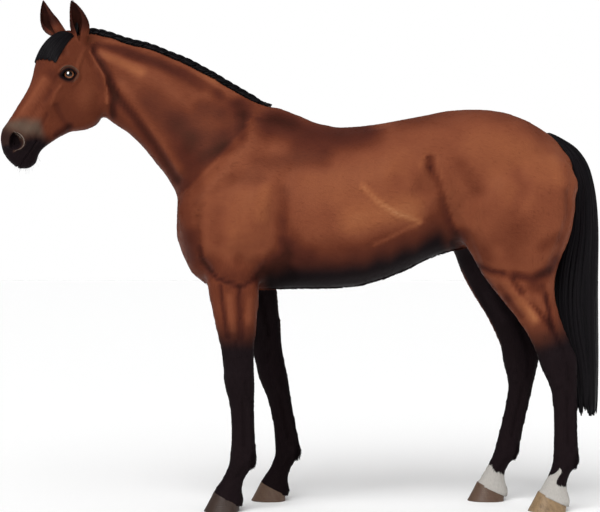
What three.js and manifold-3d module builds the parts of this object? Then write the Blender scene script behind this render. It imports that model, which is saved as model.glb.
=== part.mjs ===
// A life-size standing bay horse, 16 hands at the withers, in millimetres.
// +Z is up, the head points along -X and the horse's left side faces -Y.
// The origin is on the ground, below the middle of the whole animal.
import * as THREE from "three";
import { mergeVertices } from "three/addons/utils/BufferGeometryUtils.js";
import Module from "manifold-3d";

const wasm = await Module();
wasm.setup();

// ---------------------------------------------------------------- driving dimensions

const CUT_GAP = 0.3; // clearance between pieces that meet
const FAR = 4000; // longer than the horse, for the blocks that part it

const TRACK_FORE = 140; // from the midplane to the line of a forefoot
const TRACK_HIND = 137; // the same for a hind foot
const FORELEG_TOP = 868; // the forearm starts here, just under the breastbone
const HINDLEG_TOP = 1030; // the hind leg starts here, just under the groin

const HEAD_YAW = THREE.MathUtils.degToRad(25); // the face is turned to the horse's left
const HEAD_SLOPE = THREE.MathUtils.degToRad(62.6); // of the face, from the horizontal
const POLL = new THREE.Vector3(-942, -24, 1926); // top of the head, between the ears
const NECK_JOINT_X = -880; // the head turns about a vertical line here

const EYE_RADIUS = 24;
const EAR_LENGTH = 162;

// ---------------------------------------------------------------- curves and lofts

// Reads all the sizes of a list of stations at one place, on a smooth curve through them.
function sizesAt(stations, key, place) {
  const last = stations.length - 1;
  let i = 0;
  while (i < last - 1 && place > stations[i + 1][key]) i++;
  const [p0, p1, p2, p3] = [i - 1, i, i + 1, i + 2].map(
    (k) => stations[THREE.MathUtils.clamp(k, 0, last)],
  );
  const span = p2[key] - p1[key];
  const t = THREE.MathUtils.clamp((place - p1[key]) / span, 0, 1);
  const slope = (a, b, name) => (b[name] - a[name]) / Math.max(b[key] - a[key], 1e-6);
  const read = {};
  for (const name of Object.keys(p1)) {
    const m1 = slope(p0, p2, name) * span;
    const m2 = slope(p1, p3, name) * span;
    read[name] =
      (2 * t ** 3 - 3 * t ** 2 + 1) * p1[name] +
      (t ** 3 - 2 * t ** 2 + t) * m1 +
      (3 * t ** 2 - 2 * t ** 3) * p2[name] +
      (t ** 3 - t ** 2) * m2;
  }
  return read;
}

// A closed skin over rings of points, with a fan over each end.
function skinOver(rings) {
  const sides = rings[0].length;
  const points = rings.flat();
  const faces = [];
  for (let r = 0; r + 1 < rings.length; r++) {
    for (let s = 0; s < sides; s++) {
      const a = r * sides + s;
      const b = r * sides + ((s + 1) % sides);
      faces.push(a, b, a + sides, b, b + sides, a + sides);
    }
  }
  for (const [r, turned] of [[0, true], [rings.length - 1, false]]) {
    const middle = new THREE.Vector3();
    rings[r].forEach((p) => middle.addScaledVector(p, 1 / sides));
    const hub = points.push(middle) - 1;
    for (let s = 0; s < sides; s++) {
      const a = r * sides + s;
      const b = r * sides + ((s + 1) % sides);
      faces.push(...(turned ? [hub, b, a] : [hub, a, b]));
    }
  }
  const skin = new THREE.BufferGeometry().setFromPoints(points);
  skin.setIndex(faces);
  return facesOut(skin);
}

// Turns the faces of a closed skin to point outwards.
function facesOut(skin) {
  const place = skin.getAttribute("position");
  const index = skin.index.array;
  const corner = (k) => new THREE.Vector3().fromBufferAttribute(place, index[k]);
  let volume = 0;
  for (let i = 0; i < index.length; i += 3) {
    volume += corner(i).dot(corner(i + 1).cross(corner(i + 2)));
  }
  if (volume < 0) {
    for (let i = 0; i < index.length; i += 3) [index[i], index[i + 1]] = [index[i + 1], index[i]];
  }
  return skin;
}

// One rib: the outline's two edges in side view, [x, z] each, and the widths across it.
// at is where it is widest, as a share from the first edge to the second, and pa and pb
// say how full it is towards each edge: 2 is an ellipse, less is leaner, more is boxier.
function rib(first, second, left, right, { y = 0, at = 0.5, pa = 2, pb = 2 } = {}) {
  return { ax: first[0], az: first[1], bx: second[0], bz: second[1], left, right, y, at, pa, pb };
}

// The points round one rib. They start at the first edge and go round by the left side.
function ribRing(r, sides) {
  const ring = [];
  const [mx, mz] = [r.ax + (r.bx - r.ax) * r.at, r.az + (r.bz - r.az) * r.at];
  for (let s = 0; s < sides; s++) {
    const angle = (2 * Math.PI * s) / sides;
    const [c, n] = [Math.cos(angle), Math.sin(angle)];
    const power = 2 / (c > 0 ? r.pa : r.pb);
    const reach = Math.abs(c) ** power;
    const side = Math.abs(n) ** power * (n > 0 ? -r.left : r.right);
    const [ex, ez] = c > 0 ? [r.ax, r.az] : [r.bx, r.bz];
    ring.push(new THREE.Vector3(mx + (ex - mx) * reach, r.y + side, mz + (ez - mz) * reach));
  }
  return ring;
}

// A smooth body through a list of ribs, with some rings between each two.
function bodyOver(ribs, sides, steps) {
  let run = 0;
  const stations = ribs.map((r, i) => {
    const before = ribs[Math.max(i - 1, 0)];
    run += Math.hypot(
      (r.ax + r.bx - before.ax - before.bx) / 2,
      (r.az + r.bz - before.az - before.bz) / 2,
    );
    return { ...r, run };
  });
  const rings = [];
  for (let i = 0; i + 1 < stations.length; i++) {
    for (let k = 0; k < steps; k++) {
      const place = THREE.MathUtils.lerp(stations[i].run, stations[i + 1].run, k / steps);
      rings.push(ribRing(sizesAt(stations, "run", place), sides));
    }
  }
  rings.push(ribRing(stations.at(-1), sides));
  return skinOver(rings);
}

// ---------------------------------------------------------------- modelling the flesh

// A muscle, bone or hollow: it lifts the skin along its own normal, by height over a
// line of points, and fades out at reach from the line. A negative height is a hollow.
function muscle(points, reach, height) {
  return { line: points.map((p) => new THREE.Vector3(...p)), reach, height };
}

function mirrored(muscles) {
  return muscles.flatMap((m) => [
    m,
    { ...m, line: m.line.map((p) => new THREE.Vector3(p.x, -p.y, p.z)) },
  ]);
}

function distanceToLine(point, line) {
  if (line.length === 1) return point.distanceTo(line[0]);
  const near = new THREE.Vector3();
  let best = Infinity;
  for (let i = 0; i + 1 < line.length; i++) {
    new THREE.Line3(line[i], line[i + 1]).closestPointToPoint(point, true, near);
    best = Math.min(best, near.distanceTo(point));
  }
  return best;
}

function model(skin, muscles) {
  skin.computeVertexNormals();
  const place = skin.getAttribute("position");
  const normal = skin.getAttribute("normal");
  const [point, up] = [new THREE.Vector3(), new THREE.Vector3()];
  for (let i = 0; i < place.count; i++) {
    point.fromBufferAttribute(place, i);
    up.fromBufferAttribute(normal, i);
    let lift = 0;
    for (const m of muscles) {
      const share = distanceToLine(point, m.line) / m.reach;
      if (share < 1) lift += m.height * (1 - share * share) ** 2;
    }
    point.addScaledVector(up, lift);
    place.setXYZ(i, point.x, point.y, point.z);
  }
  return skin;
}

// ---------------------------------------------------------------- solids

function solidOf(geometry) {
  let bare = geometry.clone();
  bare.deleteAttribute("normal");
  bare.deleteAttribute("uv");
  bare = mergeVertices(bare, 1e-3);
  const triVerts = new Uint32Array(bare.index.array);
  const vertProperties = new Float32Array(bare.getAttribute("position").array);
  return new wasm.Manifold(new wasm.Mesh({ numProp: 3, vertProperties, triVerts }));
}

function geometryOf(solid) {
  const mesh = solid.getMesh();
  const geometry = new THREE.BufferGeometry();
  geometry.setAttribute("position", new THREE.BufferAttribute(mesh.vertProperties, 3));
  geometry.setIndex(new THREE.BufferAttribute(mesh.triVerts, 1));
  return geometry;
}

// A block that holds all the space on one side of a plane. The plane passes through
// point, and tilt turns its upward normal about Y, towards +X.
function blockBelow(point, tilt = 0, size = FAR) {
  const block = new THREE.BoxGeometry(size, size, size);
  block.translate(0, 0, -size / 2);
  block.rotateY(tilt);
  block.translate(...point);
  return solidOf(block);
}

// Takes a neighbour out of a piece, and moves the cut back by the clearance.
function clearOf(piece, neighbour, away) {
  const [x, y, z] = new THREE.Vector3(...away).setLength(CUT_GAP * 1.5).toArray();
  return piece.subtract(neighbour).subtract(neighbour.translate([x, y, z]));
}

// ---------------------------------------------------------------- trunk

function trunkSolid() {
  // Each rib stands upright: its place along the back, the height of the back and of
  // the belly there, and half the width.
  const upright = (x, back, belly, half, more) =>
    rib([x, back], [x, belly], half, half, more);
  const ribs = [
    upright(-503, 1240, 1150, 40), // front of the breast
    upright(-494, 1285, 1090, 112, { pa: 2.3, pb: 2.3 }),
    upright(-472, 1325, 1022, 170, { pa: 2.3, pb: 2.3 }),
    upright(-434, 1375, 944, 206, { pa: 2.2, pb: 2.3 }), // points of the shoulders
    upright(-380, 1440, 900, 222, { at: 0.53, pb: 2.3 }),
    upright(-320, 1510, 890, 230, { at: 0.56, pb: 2.3 }),
    upright(-250, 1590, 888, 233, { at: 0.6, pa: 1.75, pb: 2.3 }),
    upright(-170, 1641, 886, 234, { at: 0.62, pa: 1.6, pb: 2.3 }),
    upright(-95, 1636, 888, 238, { at: 0.62, pa: 1.5, pb: 2.2 }), // withers
    upright(-20, 1609, 890, 250, { at: 0.6, pa: 1.55, pb: 2.2 }),
    upright(60, 1574, 890, 266, { at: 0.57, pa: 1.7, pb: 2.1 }),
    upright(150, 1553, 892, 284, { at: 0.54, pa: 1.9, pb: 2.1 }), // lowest of the back
    upright(250, 1557, 902, 297, { at: 0.52, pa: 2.05, pb: 2.1 }),
    upright(350, 1570, 931, 301, { at: 0.5, pa: 2.15, pb: 2.1 }), // widest of the barrel
    upright(440, 1586, 968, 290, { at: 0.47, pa: 2.15, pb: 2.1 }),
    upright(520, 1601, 1009, 272, { at: 0.44, pa: 2.1, pb: 2.1 }), // loin and flank
    upright(600, 1619, 1038, 256, { at: 0.42, pa: 2.05, pb: 2.1 }),
    upright(680, 1625, 1056, 258, { at: 0.42, pa: 2.1, pb: 2.1 }), // top of the croup
    upright(760, 1624, 1066, 258, { at: 0.44, pa: 2.15, pb: 2.1 }),
    upright(840, 1612, 1078, 250, { at: 0.46, pa: 2.15, pb: 2.1 }),
    upright(920, 1583, 1098, 232, { at: 0.48, pa: 2.1, pb: 2.1 }),
    upright(985, 1547, 1128, 208, { pa: 1.9, pb: 2.1 }),
    upright(1040, 1508, 1170, 174, { pa: 1.8, pb: 2.1 }),
    upright(1076, 1462, 1222, 128, { pa: 1.8 }), // under the tail
    upright(1094, 1400, 1290, 62),
  ];
  return model(
    bodyOver(ribs, 24, 1),
    mirrored([
      muscle([[-110, -70, 1600], [-300, -185, 1380], [-440, -190, 1210]], 75, 13), // blade bone
      muscle([[-30, -160, 1490], [-150, -225, 1280]], 110, 9), // back of the shoulder
      muscle([[-190, -230, 1200], [-255, -235, 1040]], 125, 20), // triceps
      muscle([[-455, -175, 1185]], 80, 14), // point of the shoulder
      muscle([[-470, -60, 1120], [-420, -80, 985]], 75, 10), // breast
      muscle([[-478, 0, 1080], [-462, 0, 1000], [-400, 0, 905]], 42, -7), // between them
      muscle([[-360, -235, 1360], [-445, -215, 1240]], 50, -6), // before the shoulder
      muscle([[-95, -245, 1180], [-105, -235, 1020]], 60, -14), // behind the elbow
      muscle([[560, -225, 1500]], 90, 14), // point of the hip
      muscle([[480, -265, 1400], [540, -280, 1300]], 85, -17), // hollow of the flank
      muscle([[300, -140, 1540], [520, -120, 1590]], 90, 7), // loin
      muscle([[700, -165, 1575], [900, -150, 1525]], 110, 8), // rump
      muscle([[1000, 0, 1250], [1080, 0, 1330]], 60, -20), // under the dock
    ]),
  );
}

// ---------------------------------------------------------------- neck

function neckSolid() {
  const crest = 1.4; // how lean the neck is towards its crest
  const ribs = [
    rib([-905, 1918], [-872, 1700], 58, 58, { y: -30, at: 0.55, pa: 1.9 }),
    rib([-828, 1923], [-812, 1612], 72, 72, { y: -22, at: 0.56, pa: 1.7 }), // behind the jaw
    rib([-717, 1901], [-779, 1574], 73, 73, { y: -13, at: 0.6, pa: 1.5 }),
    rib([-594, 1866], [-717, 1534], 76, 76, { y: -7, at: 0.63, pa: crest }),
    rib([-480, 1825], [-656, 1481], 84, 84, { y: -3, at: 0.65, pa: crest }),
    rib([-369, 1768], [-603, 1416], 97, 97, { at: 0.66, pa: crest }),
    rib([-271, 1708], [-550, 1350], 118, 118, { at: 0.66, pa: crest }),
    rib([-178, 1657], [-510, 1280], 148, 148, { at: 0.64, pa: 1.5 }), // root of the neck
    rib([-95, 1628], [-485, 1195], 176, 176, { at: 0.6, pa: 1.6 }),
    rib([-10, 1560], [-420, 1110], 180, 180, { at: 0.6, pa: 1.7 }),
  ];
  return model(
    bodyOver(ribs, 18, 2),
    mirrored([
      muscle([[-815, -85, 1800], [-790, -85, 1760]], 60, 9), // wing of the atlas
      muscle([[-760, -70, 1845], [-560, -60, 1745], [-330, -95, 1590]], 80, 8), // splenius
      muscle([[-800, -70, 1650], [-650, -75, 1540], [-520, -105, 1370]], 48, 9), // sternocephalic
      muscle([[-720, -80, 1640], [-560, -90, 1490], [-450, -140, 1330]], 30, -7), // jugular groove
      muscle([[-640, -60, 1790], [-400, -90, 1640]], 40, -4),
    ]),
  );
}

// ---------------------------------------------------------------- head

// From the head's own coordinates, along the face, out from it and to the horse's right,
// to the horse's. The head slopes down and is turned to the left.
function headToHorse(along, out, right) {
  const [c, s] = [Math.cos(HEAD_SLOPE), Math.sin(HEAD_SLOPE)];
  const point = new THREE.Vector3(
    POLL.x - along * c - out * s,
    POLL.y + right,
    POLL.z - along * s + out * c,
  );
  const hinge = new THREE.Vector3(NECK_JOINT_X, POLL.y, 0);
  return point.sub(hinge).applyAxisAngle(new THREE.Vector3(0, 0, 1), HEAD_YAW).add(hinge);
}

// The head is drawn over seven long lines, from the poll to the lips. A station gives
// each line's distance out from the head's axis, and, off the midline, its half width.
function headStation(along, ridge, bridge, brow, crest, cheek, jaw, under) {
  const named = { along, ridge, under };
  for (const [name, [out, half]] of Object.entries({ bridge, brow, crest, cheek, jaw })) {
    named[name] = out;
    named[name + "Half"] = half;
  }
  return named;
}

const HEAD_STATIONS = [
  //           along ridge  bridge     brow        crest        cheek        jaw        under
  headStation(-14, 12, [4, 26], [-22, 40], [-50, 44], [-74, 38], [-90, 22], -94),
  headStation(8, 34, [26, 36], [-2, 58], [-44, 66], [-86, 60], [-112, 36], -120),
  headStation(45, 58, [48, 46], [14, 78], [-42, 84], [-108, 74], [-146, 46], -158),
  headStation(85, 70, [60, 56], [24, 92], [-42, 94], [-122, 82], [-176, 54], -192),
  headStation(125, 72, [62, 64], [26, 102], [-46, 100], [-132, 86], [-204, 60], -222), // brow
  headStation(160, 70, [57, 66], [22, 107], [-50, 103], [-138, 87], [-224, 63], -244), // eye
  headStation(195, 63, [49, 60], [11, 101], [-54, 101], [-142, 86], [-240, 63], -260),
  headStation(235, 54, [42, 48], [2, 83], [-58, 93], [-142, 81], [-250, 60], -271), // jowl
  headStation(275, 50, [38, 39], [-2, 68], [-58, 83], [-134, 73], [-244, 56], -266),
  headStation(315, 52, [40, 33], [-2, 58], [-55, 73], [-120, 64], [-215, 50], -237),
  headStation(355, 55, [43, 29], [0, 51], [-49, 64], [-100, 56], [-163, 44], -183),
  headStation(400, 58, [47, 27], [4, 46], [-42, 56], [-86, 48], [-137, 39], -155),
  headStation(440, 62, [50, 26], [8, 45], [-35, 53], [-78, 46], [-118, 37], -132),
  headStation(472, 67, [54, 27], [12, 49], [-28, 58], [-73, 48], [-102, 35], -114), // nostrils
  headStation(500, 65, [52, 27], [12, 50], [-26, 61], [-70, 50], [-98, 34], -109),
  headStation(525, 52, [40, 26], [5, 46], [-30, 56], [-70, 49], [-102, 34], -117),
  headStation(547, 34, [24, 24], [-8, 40], [-37, 48], [-70, 44], [-101, 32], -116), // chin
  headStation(565, 13, [5, 21], [-20, 33], [-45, 38], [-70, 36], [-92, 26], -104),
  headStation(578, -12, [-18, 16], [-35, 23], [-53, 26], [-68, 23], [-81, 16], -89),
  headStation(585, -38, [-41, 8], [-48, 12], [-56, 13], [-63, 12], [-69, 8], -72), // lips
];

const HEAD_SIDES = 22;

function headRing(along, sides) {
  const s = sizesAt(HEAD_STATIONS, "along", along);
  const lines = ["bridge", "brow", "crest", "cheek", "jaw"];
  const half = lines.map((name) => [s[name], s[name + "Half"]]);
  const round = [
    [s.ridge, 0],
    ...half.map(([out, w]) => [out, -w]),
    [s.under, 0],
    ...half.reverse(),
  ];
  const outline = new THREE.CatmullRomCurve3(
    round.map(([out, w]) => new THREE.Vector3(out, w, 0)),
    true,
    "centripetal",
  );
  return outline
    .getSpacedPoints(sides)
    .slice(0, sides)
    .map((p) => headToHorse(along, p.x, p.y));
}

const EYE_AT = [170, -52]; // down the face and out from it
const NOSTRIL_AT = [504, 5];

function headSolid() {
  const rings = [];
  for (let i = 0; i + 1 < HEAD_STATIONS.length; i++) {
    rings.push(headRing(HEAD_STATIONS[i].along, HEAD_SIDES));
  }
  rings.push(headRing(HEAD_STATIONS.at(-1).along, HEAD_SIDES));
  const onHead = (points, reach, height) =>
    [-1, 1].map((side) => ({
      line: points.map(([along, out, half]) => headToHorse(along, out, side * half)),
      reach,
      height,
    }));
  return model(skinOver(rings), [
    ...onHead([[108, 8, 92]], 34, -7), // hollow over the eye
    ...onHead([[...EYE_AT, 100]], 40, 7), // the lids over the ball
    ...onHead([[150, 30, 98], [190, 18, 96]], 30, 5), // rim of the orbit
    ...onHead([[190, -62, 100], [340, -50, 68]], 26, 5), // facial crest
    ...onHead([[170, -150, 84], [240, -160, 76]], 72, 6), // masseter
    ...onHead([[300, -95, 68], [370, -70, 58]], 34, -5), // before the masseter
    ...onHead([[475, 8, 52], [505, -25, 58]], 30, 6), // flare of the nostril
    ...onHead([[330, -215, 20], [430, -135, 12]], 26, -4),
  ]);
}

// A point of the head for each corner of a round body: centre is the middle and size the
// half lengths, both along the face, out from it and sideways.
function onHeadBall(ball, centre, size, side) {
  const place = ball.getAttribute("position");
  for (let i = 0; i < place.count; i++) {
    const [x, y, z] = [place.getX(i), place.getY(i), place.getZ(i)];
    const lean = 0.5 * size[1] * x; // the upper end leans to the front of the face
    const p = headToHorse(
      centre[0] + size[0] * x,
      centre[1] + size[1] * y - lean,
      side * (centre[2] + size[2] * z),
    );
    place.setXYZ(i, p.x, p.y, p.z);
  }
  return solidOf(facesOut(ball));
}

// The nostril is a pocket like a comma, that leans to the front of the face at its top.
function nostrilSolid(side) {
  return onHeadBall(new THREE.SphereGeometry(1, 10, 6), [...NOSTRIL_AT, 60], [31, 17, 13], side);
}

// The opening between the lids.
function lidOpening(side) {
  return onHeadBall(new THREE.SphereGeometry(1, 8, 6), [...EYE_AT, 112], [23, 16, 14], side);
}

const eyeCentre = (side) => headToHorse(...EYE_AT, side * 90);

function eyeSolid(side, radius) {
  const ball = new THREE.SphereGeometry(radius, 10, 7);
  return solidOf(ball.translate(...eyeCentre(side)));
}

// ---------------------------------------------------------------- ears

// An ear is a leaf rolled round its length and open in front: a full body with its
// hollow taken out. It stands on the poll, leans and is turned, all in degrees.
function earSolid({ root, lean, spread, turn }) {
  const sizes = [
    //   share up, half width, half depth, curve forwards
    { up: 0, wide: 25, deep: 26, curve: 0 },
    { up: 0.18, wide: 32, deep: 28, curve: -1 },
    { up: 0.38, wide: 36, deep: 26, curve: -1 },
    { up: 0.58, wide: 34, deep: 21, curve: 2 },
    { up: 0.76, wide: 26, deep: 15, curve: 6 },
    { up: 0.9, wide: 15, deep: 9, curve: 11 },
    { up: 1, wide: 4, deep: 4, curve: 15 },
  ];
  const body = (grow, forward, from, to, sides) => {
    const rings = [];
    const steps = 6;
    for (let k = 0; k <= steps; k++) {
      const up = THREE.MathUtils.lerp(from, to, k / steps);
      const s = sizesAt(sizes, "up", up);
      const ring = [];
      for (let j = 0; j < sides; j++) {
        const angle = (2 * Math.PI * j) / sides;
        ring.push(
          new THREE.Vector3(
            -s.curve - forward * s.deep + Math.max(s.deep + grow, 1) * Math.cos(angle),
            Math.max(s.wide + grow, 1) * Math.sin(angle),
            up * EAR_LENGTH,
          ),
        );
      }
      rings.push(ring);
    }
    return skinOver(rings);
  };
  const place = (geometry) =>
    geometry
      .rotateZ(THREE.MathUtils.degToRad(turn))
      .rotateX(THREE.MathUtils.degToRad(spread))
      .rotateY(THREE.MathUtils.degToRad(-lean))
      .translate(...root);
  const wall = 6;
  const hollow = place(body(-wall, 0.75, 0.16, 0.92, 8));
  return solidOf(place(body(0, 0, -0.12, 1, 10))).subtract(solidOf(hollow));
}

// ---------------------------------------------------------------- legs

// How far the right leg stands from the left one's place, at each height: the right
// foreleg slopes back under the horse, and the right hind leg forward.
const FORE_SWING = [
  { z: 0, x: 182 },
  { z: 120, x: 182 },
  { z: 210, x: 178 },
  { z: 510, x: 132 },
  { z: 700, x: 98 },
  { z: 880, x: 66 },
  { z: 1200, x: 0 },
];
const HIND_SWING = [
  { z: 0, x: -214 },
  { z: 120, x: -214 },
  { z: 210, x: -202 },
  { z: 600, x: -111 },
  { z: 760, x: -93 },
  { z: 1040, x: -36 },
  { z: 1320, x: 0 },
];

// Moves a left leg to the right side: mirrors it and swings it at each height.
function rightLeg(left, swing) {
  const right = left.clone();
  const place = right.getAttribute("position");
  for (let i = 0; i < place.count; i++) {
    const z = place.getZ(i);
    const shift = z < swing[1].z ? swing[0].x : sizesAt(swing, "z", Math.min(z, swing.at(-1).z)).x;
    place.setXYZ(i, place.getX(i) + shift, -place.getY(i), z);
  }
  return facesOut(right);
}

// A rib of a leg lies level: its height, the leg's middle there, its reach forwards and
// back from that, and its reach out and in from the line of the foot.
function levelRib(z, middle, forward, back, out, inward, track, more) {
  return rib([middle - forward, z], [middle + back, z], out, inward, { y: -track, ...more });
}

function forelegSkin() {
  const level = (z, middle, forward, back, out, inward, more = {}) =>
    levelRib(z, middle, forward, back, out, inward, TRACK_FORE + 10 * Math.min(z / 900, 1), more);
  const ribs = [
    level(1110, -290, 40, 60, 44, 44),
    level(1015, -284, 92, 104, 70, 62),
    level(935, -274, 107, 113, 79, 60), // elbow
    level(870, -266, 98, 104, 74, 56),
    level(800, -261, 87, 91, 66, 51),
    level(735, -256, 76, 79, 58, 46),
    level(670, -252, 67, 69, 51, 42),
    level(610, -248, 61, 63, 46, 40, { pa: 2.2 }),
    level(568, -245, 59, 60, 47, 43, { pa: 2.4 }), // knee
    level(528, -243, 58, 58, 48, 44, { pa: 2.5, pb: 2.2 }),
    level(488, -241, 55, 58, 47, 43, { pa: 2.4 }),
    level(452, -238, 48, 54, 38, 36),
    level(412, -235, 44, 50, 32, 31),
    level(340, -232, 42, 49, 30, 29), // cannon
    level(280, -231, 43, 51, 31, 30),
    level(246, -231, 46, 54, 36, 35),
    level(212, -233, 49, 57, 40, 39), // fetlock
    level(184, -239, 48, 54, 39, 38),
    level(154, -255, 44, 48, 34, 34),
    level(124, -272, 43, 49, 34, 34), // pastern
    level(98, -287, 47, 57, 41, 41),
    level(72, -298, 50, 68, 49, 49), // coronet
    level(44, -305, 52, 78, 54, 54, { pb: 2.4 }),
    level(16, -310, 52, 80, 54, 54, { pb: 2.4 }),
  ];
  const y = -TRACK_FORE;
  return model(bodyOver(ribs, 12, 1), [
    muscle([[-345, y - 40, 870], [-315, y - 35, 730]], 60, 8), // extensors
    muscle([[-190, y - 40, 860], [-195, y - 30, 720]], 55, 7), // flexors
    muscle([[-262, y - 70, 860], [-250, y - 50, 640]], 24, -4), // between them
    muscle([[-190, y, 545]], 26, 7), // accessory bone of the knee
    muscle([[-300, y, 530]], 34, 4),
    muscle([[-218, y - 32, 430], [-214, y - 32, 270]], 15, -4), // before the tendons
    muscle([[-218, y + 32, 430], [-214, y + 32, 270]], 15, -4),
    muscle([[-185, y, 192]], 26, 5), // ergot
    muscle([[-222, y - 22, 50], [-222, y + 22, 50]], 26, 5), // bulbs of the heel
  ]);
}

function hindlegSkin() {
  // Here out and inward are measured from the horse's midplane.
  const level = (z, front, back, out, inward, more = {}) => {
    const track = (out + inward) / 2;
    const half = (out - inward) / 2;
    return rib([front, z], [back, z], half, half, { y: -track, ...more });
  };
  const ribs = [
    level(1500, 790, 940, 140, 70),
    level(1455, 700, 1010, 186, 45),
    level(1390, 640, 1074, 240, 28, { pa: 1.8, pb: 2.1 }),
    level(1300, 606, 1108, 280, 16, { pa: 1.7, pb: 2.2 }), // thigh
    level(1210, 598, 1106, 289, 12, { pa: 1.7, pb: 2.3 }),
    level(1130, 614, 1094, 284, 12, { pa: 1.8, pb: 2.3 }), // stifle
    level(1076, 652, 1078, 269, 20, { pb: 2.2 }),
    level(1018, 692, 1052, 250, 32, { pb: 2.1 }),
    level(962, 722, 1033, 232, 46),
    level(906, 762, 1024, 217, 60),
    level(850, 808, 1026, 204, 71), // gaskin
    level(790, 858, 1042, 193, 80),
    level(722, 908, 1064, 182, 90),
    level(662, 941, 1088, 178, 94),
    level(618, 957, 1106, 180, 93, { pa: 2.3 }), // hock
    level(572, 974, 1112, 182, 92, { pa: 2.3 }),
    level(524, 997, 1112, 176, 96, { pa: 2.2 }),
    level(476, 1014, 1112, 168, 104),
    level(400, 1022, 1112, 166, 107), // cannon
    level(310, 1023, 1113, 166, 107),
    level(256, 1022, 1116, 171, 103),
    level(216, 1019, 1118, 177, 98), // fetlock
    level(186, 1014, 1112, 176, 99),
    level(156, 1004, 1090, 171, 103),
    level(126, 990, 1076, 171, 103), // pastern
    level(98, 973, 1072, 178, 97),
    level(72, 964, 1076, 185, 90), // coronet
    level(44, 960, 1082, 189, 86, { pb: 2.4 }),
    level(16, 958, 1082, 189, 86, { pb: 2.4 }),
  ];
  const y = -TRACK_HIND;
  return model(bodyOver(ribs, 14, 1), [
    muscle([[640, -262, 1130]], 80, 14), // kneecap
    muscle([[1000, -250, 1330], [1010, -235, 1150], [960, -225, 1010]], 85, 12), // hamstrings
    muscle([[900, -285, 1340], [890, -270, 1120]], 60, -7), // before them
    muscle([[780, -275, 1330], [760, -285, 1200]], 110, 8), // quadriceps
    muscle([[800, y - 75, 930], [860, y - 60, 830]], 62, 9), // gaskin muscle
    muscle([[980, y - 35, 900], [1010, y - 30, 800]], 45, 6),
    muscle([[1000, y - 42, 780], [1055, y - 32, 670]], 26, -6), // before the hamstring tendon
    muscle([[1000, y + 42, 780], [1055, y + 32, 670]], 26, -6),
    muscle([[1098, y, 628], [1102, y, 590]], 30, 5), // point of the hock
    muscle([[995, y, 585]], 36, 5),
    muscle([[1072, y - 32, 450], [1074, y - 32, 270]], 15, -4), // before the tendons
    muscle([[1072, y + 32, 450], [1074, y + 32, 270]], 15, -4),
    muscle([[1108, y, 196]], 26, 5), // ergot
    muscle([[1078, y - 22, 50], [1078, y + 22, 50]], 26, 5), // bulbs of the heel
  ]);
}

// ---------------------------------------------------------------- hooves

// The coronet slopes down from the toe to the heel, so the wall is high in front.
const CORONET = { toe: 78, heel: 26 };

const HOOVES = {
  //          toe on the ground, heel, top of the toe, top of the heel, half widths
  fore: { toe: -385, heel: -243, topToe: -345, topHeel: -238, foot: 68, top: 53 },
  hind: { toe: 917, heel: 1066, topToe: 958, topHeel: 1072, foot: 63, top: 51 },
};

function coronetTilt({ topToe, topHeel }) {
  return Math.atan2(CORONET.toe - CORONET.heel, topHeel - topToe);
}

function hoofSkin(size, track) {
  const rings = [];
  const [sides, steps] = [20, 2];
  for (let k = 0; k <= steps; k++) {
    const up = k / steps;
    const toe = THREE.MathUtils.lerp(size.toe, size.topToe, up);
    const heel = THREE.MathUtils.lerp(size.heel, size.topHeel, up);
    const half = THREE.MathUtils.lerp(size.foot, size.top, up);
    const middle = THREE.MathUtils.lerp(toe, heel, 0.52);
    const ring = [];
    for (let s = 0; s < sides; s++) {
      const angle = (2 * Math.PI * s) / sides;
      const [c, n] = [Math.cos(angle), Math.sin(angle)];
      const power = c > 0 ? 0.95 : 0.72; // round at the toe, squarer at the heels
      const reach = Math.abs(c) ** power;
      const x = c > 0 ? middle + (toe - middle) * reach : middle + (heel - middle) * reach;
      const rise = THREE.MathUtils.mapLinear(x, toe, heel, CORONET.toe, CORONET.heel);
      ring.push(new THREE.Vector3(x, -track - half * Math.sign(n) * Math.abs(n) ** power, rise * up));
    }
    rings.push(ring);
  }
  return skinOver(rings);
}

// ---------------------------------------------------------------- hair

// The mane is plaited close along the crest, in one long running braid.
function maneSolid() {
  const crest = [
    [-872, -28, 1938], [-800, -20, 1923], [-717, -13, 1903], [-594, -7, 1868],
    [-480, -3, 1828], [-369, 0, 1771], [-271, 0, 1714], [-178, 0, 1662], [-108, 0, 1638],
  ];
  const curve = new THREE.CatmullRomCurve3(crest.map((p) => new THREE.Vector3(...p)));
  const crossings = 17;
  const below = 0.45; // the plait is flatter where it lies on the crest
  const rings = [];
  for (let k = 0; k <= 2 * crossings; k++) {
    const t = k / (2 * crossings);
    const centre = curve.getPointAt(t);
    const ahead = curve.getTangentAt(t);
    const up = new THREE.Vector3(-ahead.z, 0, ahead.x).normalize();
    const size = THREE.MathUtils.lerp(21, 11, t) * Math.min(1, 0.45 + 12 * (1 - t));
    const bump = 0.84 + 0.16 * Math.abs(Math.sin(Math.PI * crossings * t));
    const ring = [];
    for (let s = 0; s < 6; s++) {
      const angle = (2 * Math.PI * s) / 6;
      const height = Math.cos(angle) * (Math.cos(angle) > 0 ? 1 : below);
      ring.push(
        centre
          .clone()
          .addScaledVector(up, size * bump * height)
          .add(new THREE.Vector3(0, -size * bump * Math.sin(angle), 0)),
      );
    }
    rings.push(ring);
  }
  return solidOf(skinOver(rings));
}

// How far out from the line of the face the brow is, at some distance from its middle.
function browOut(s, half) {
  if (half < s.bridgeHalf) return THREE.MathUtils.lerp(s.ridge, s.bridge, (half / s.bridgeHalf) ** 2);
  return THREE.MathUtils.mapLinear(half, s.bridgeHalf, s.browHalf, s.bridge, s.brow);
}

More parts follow.
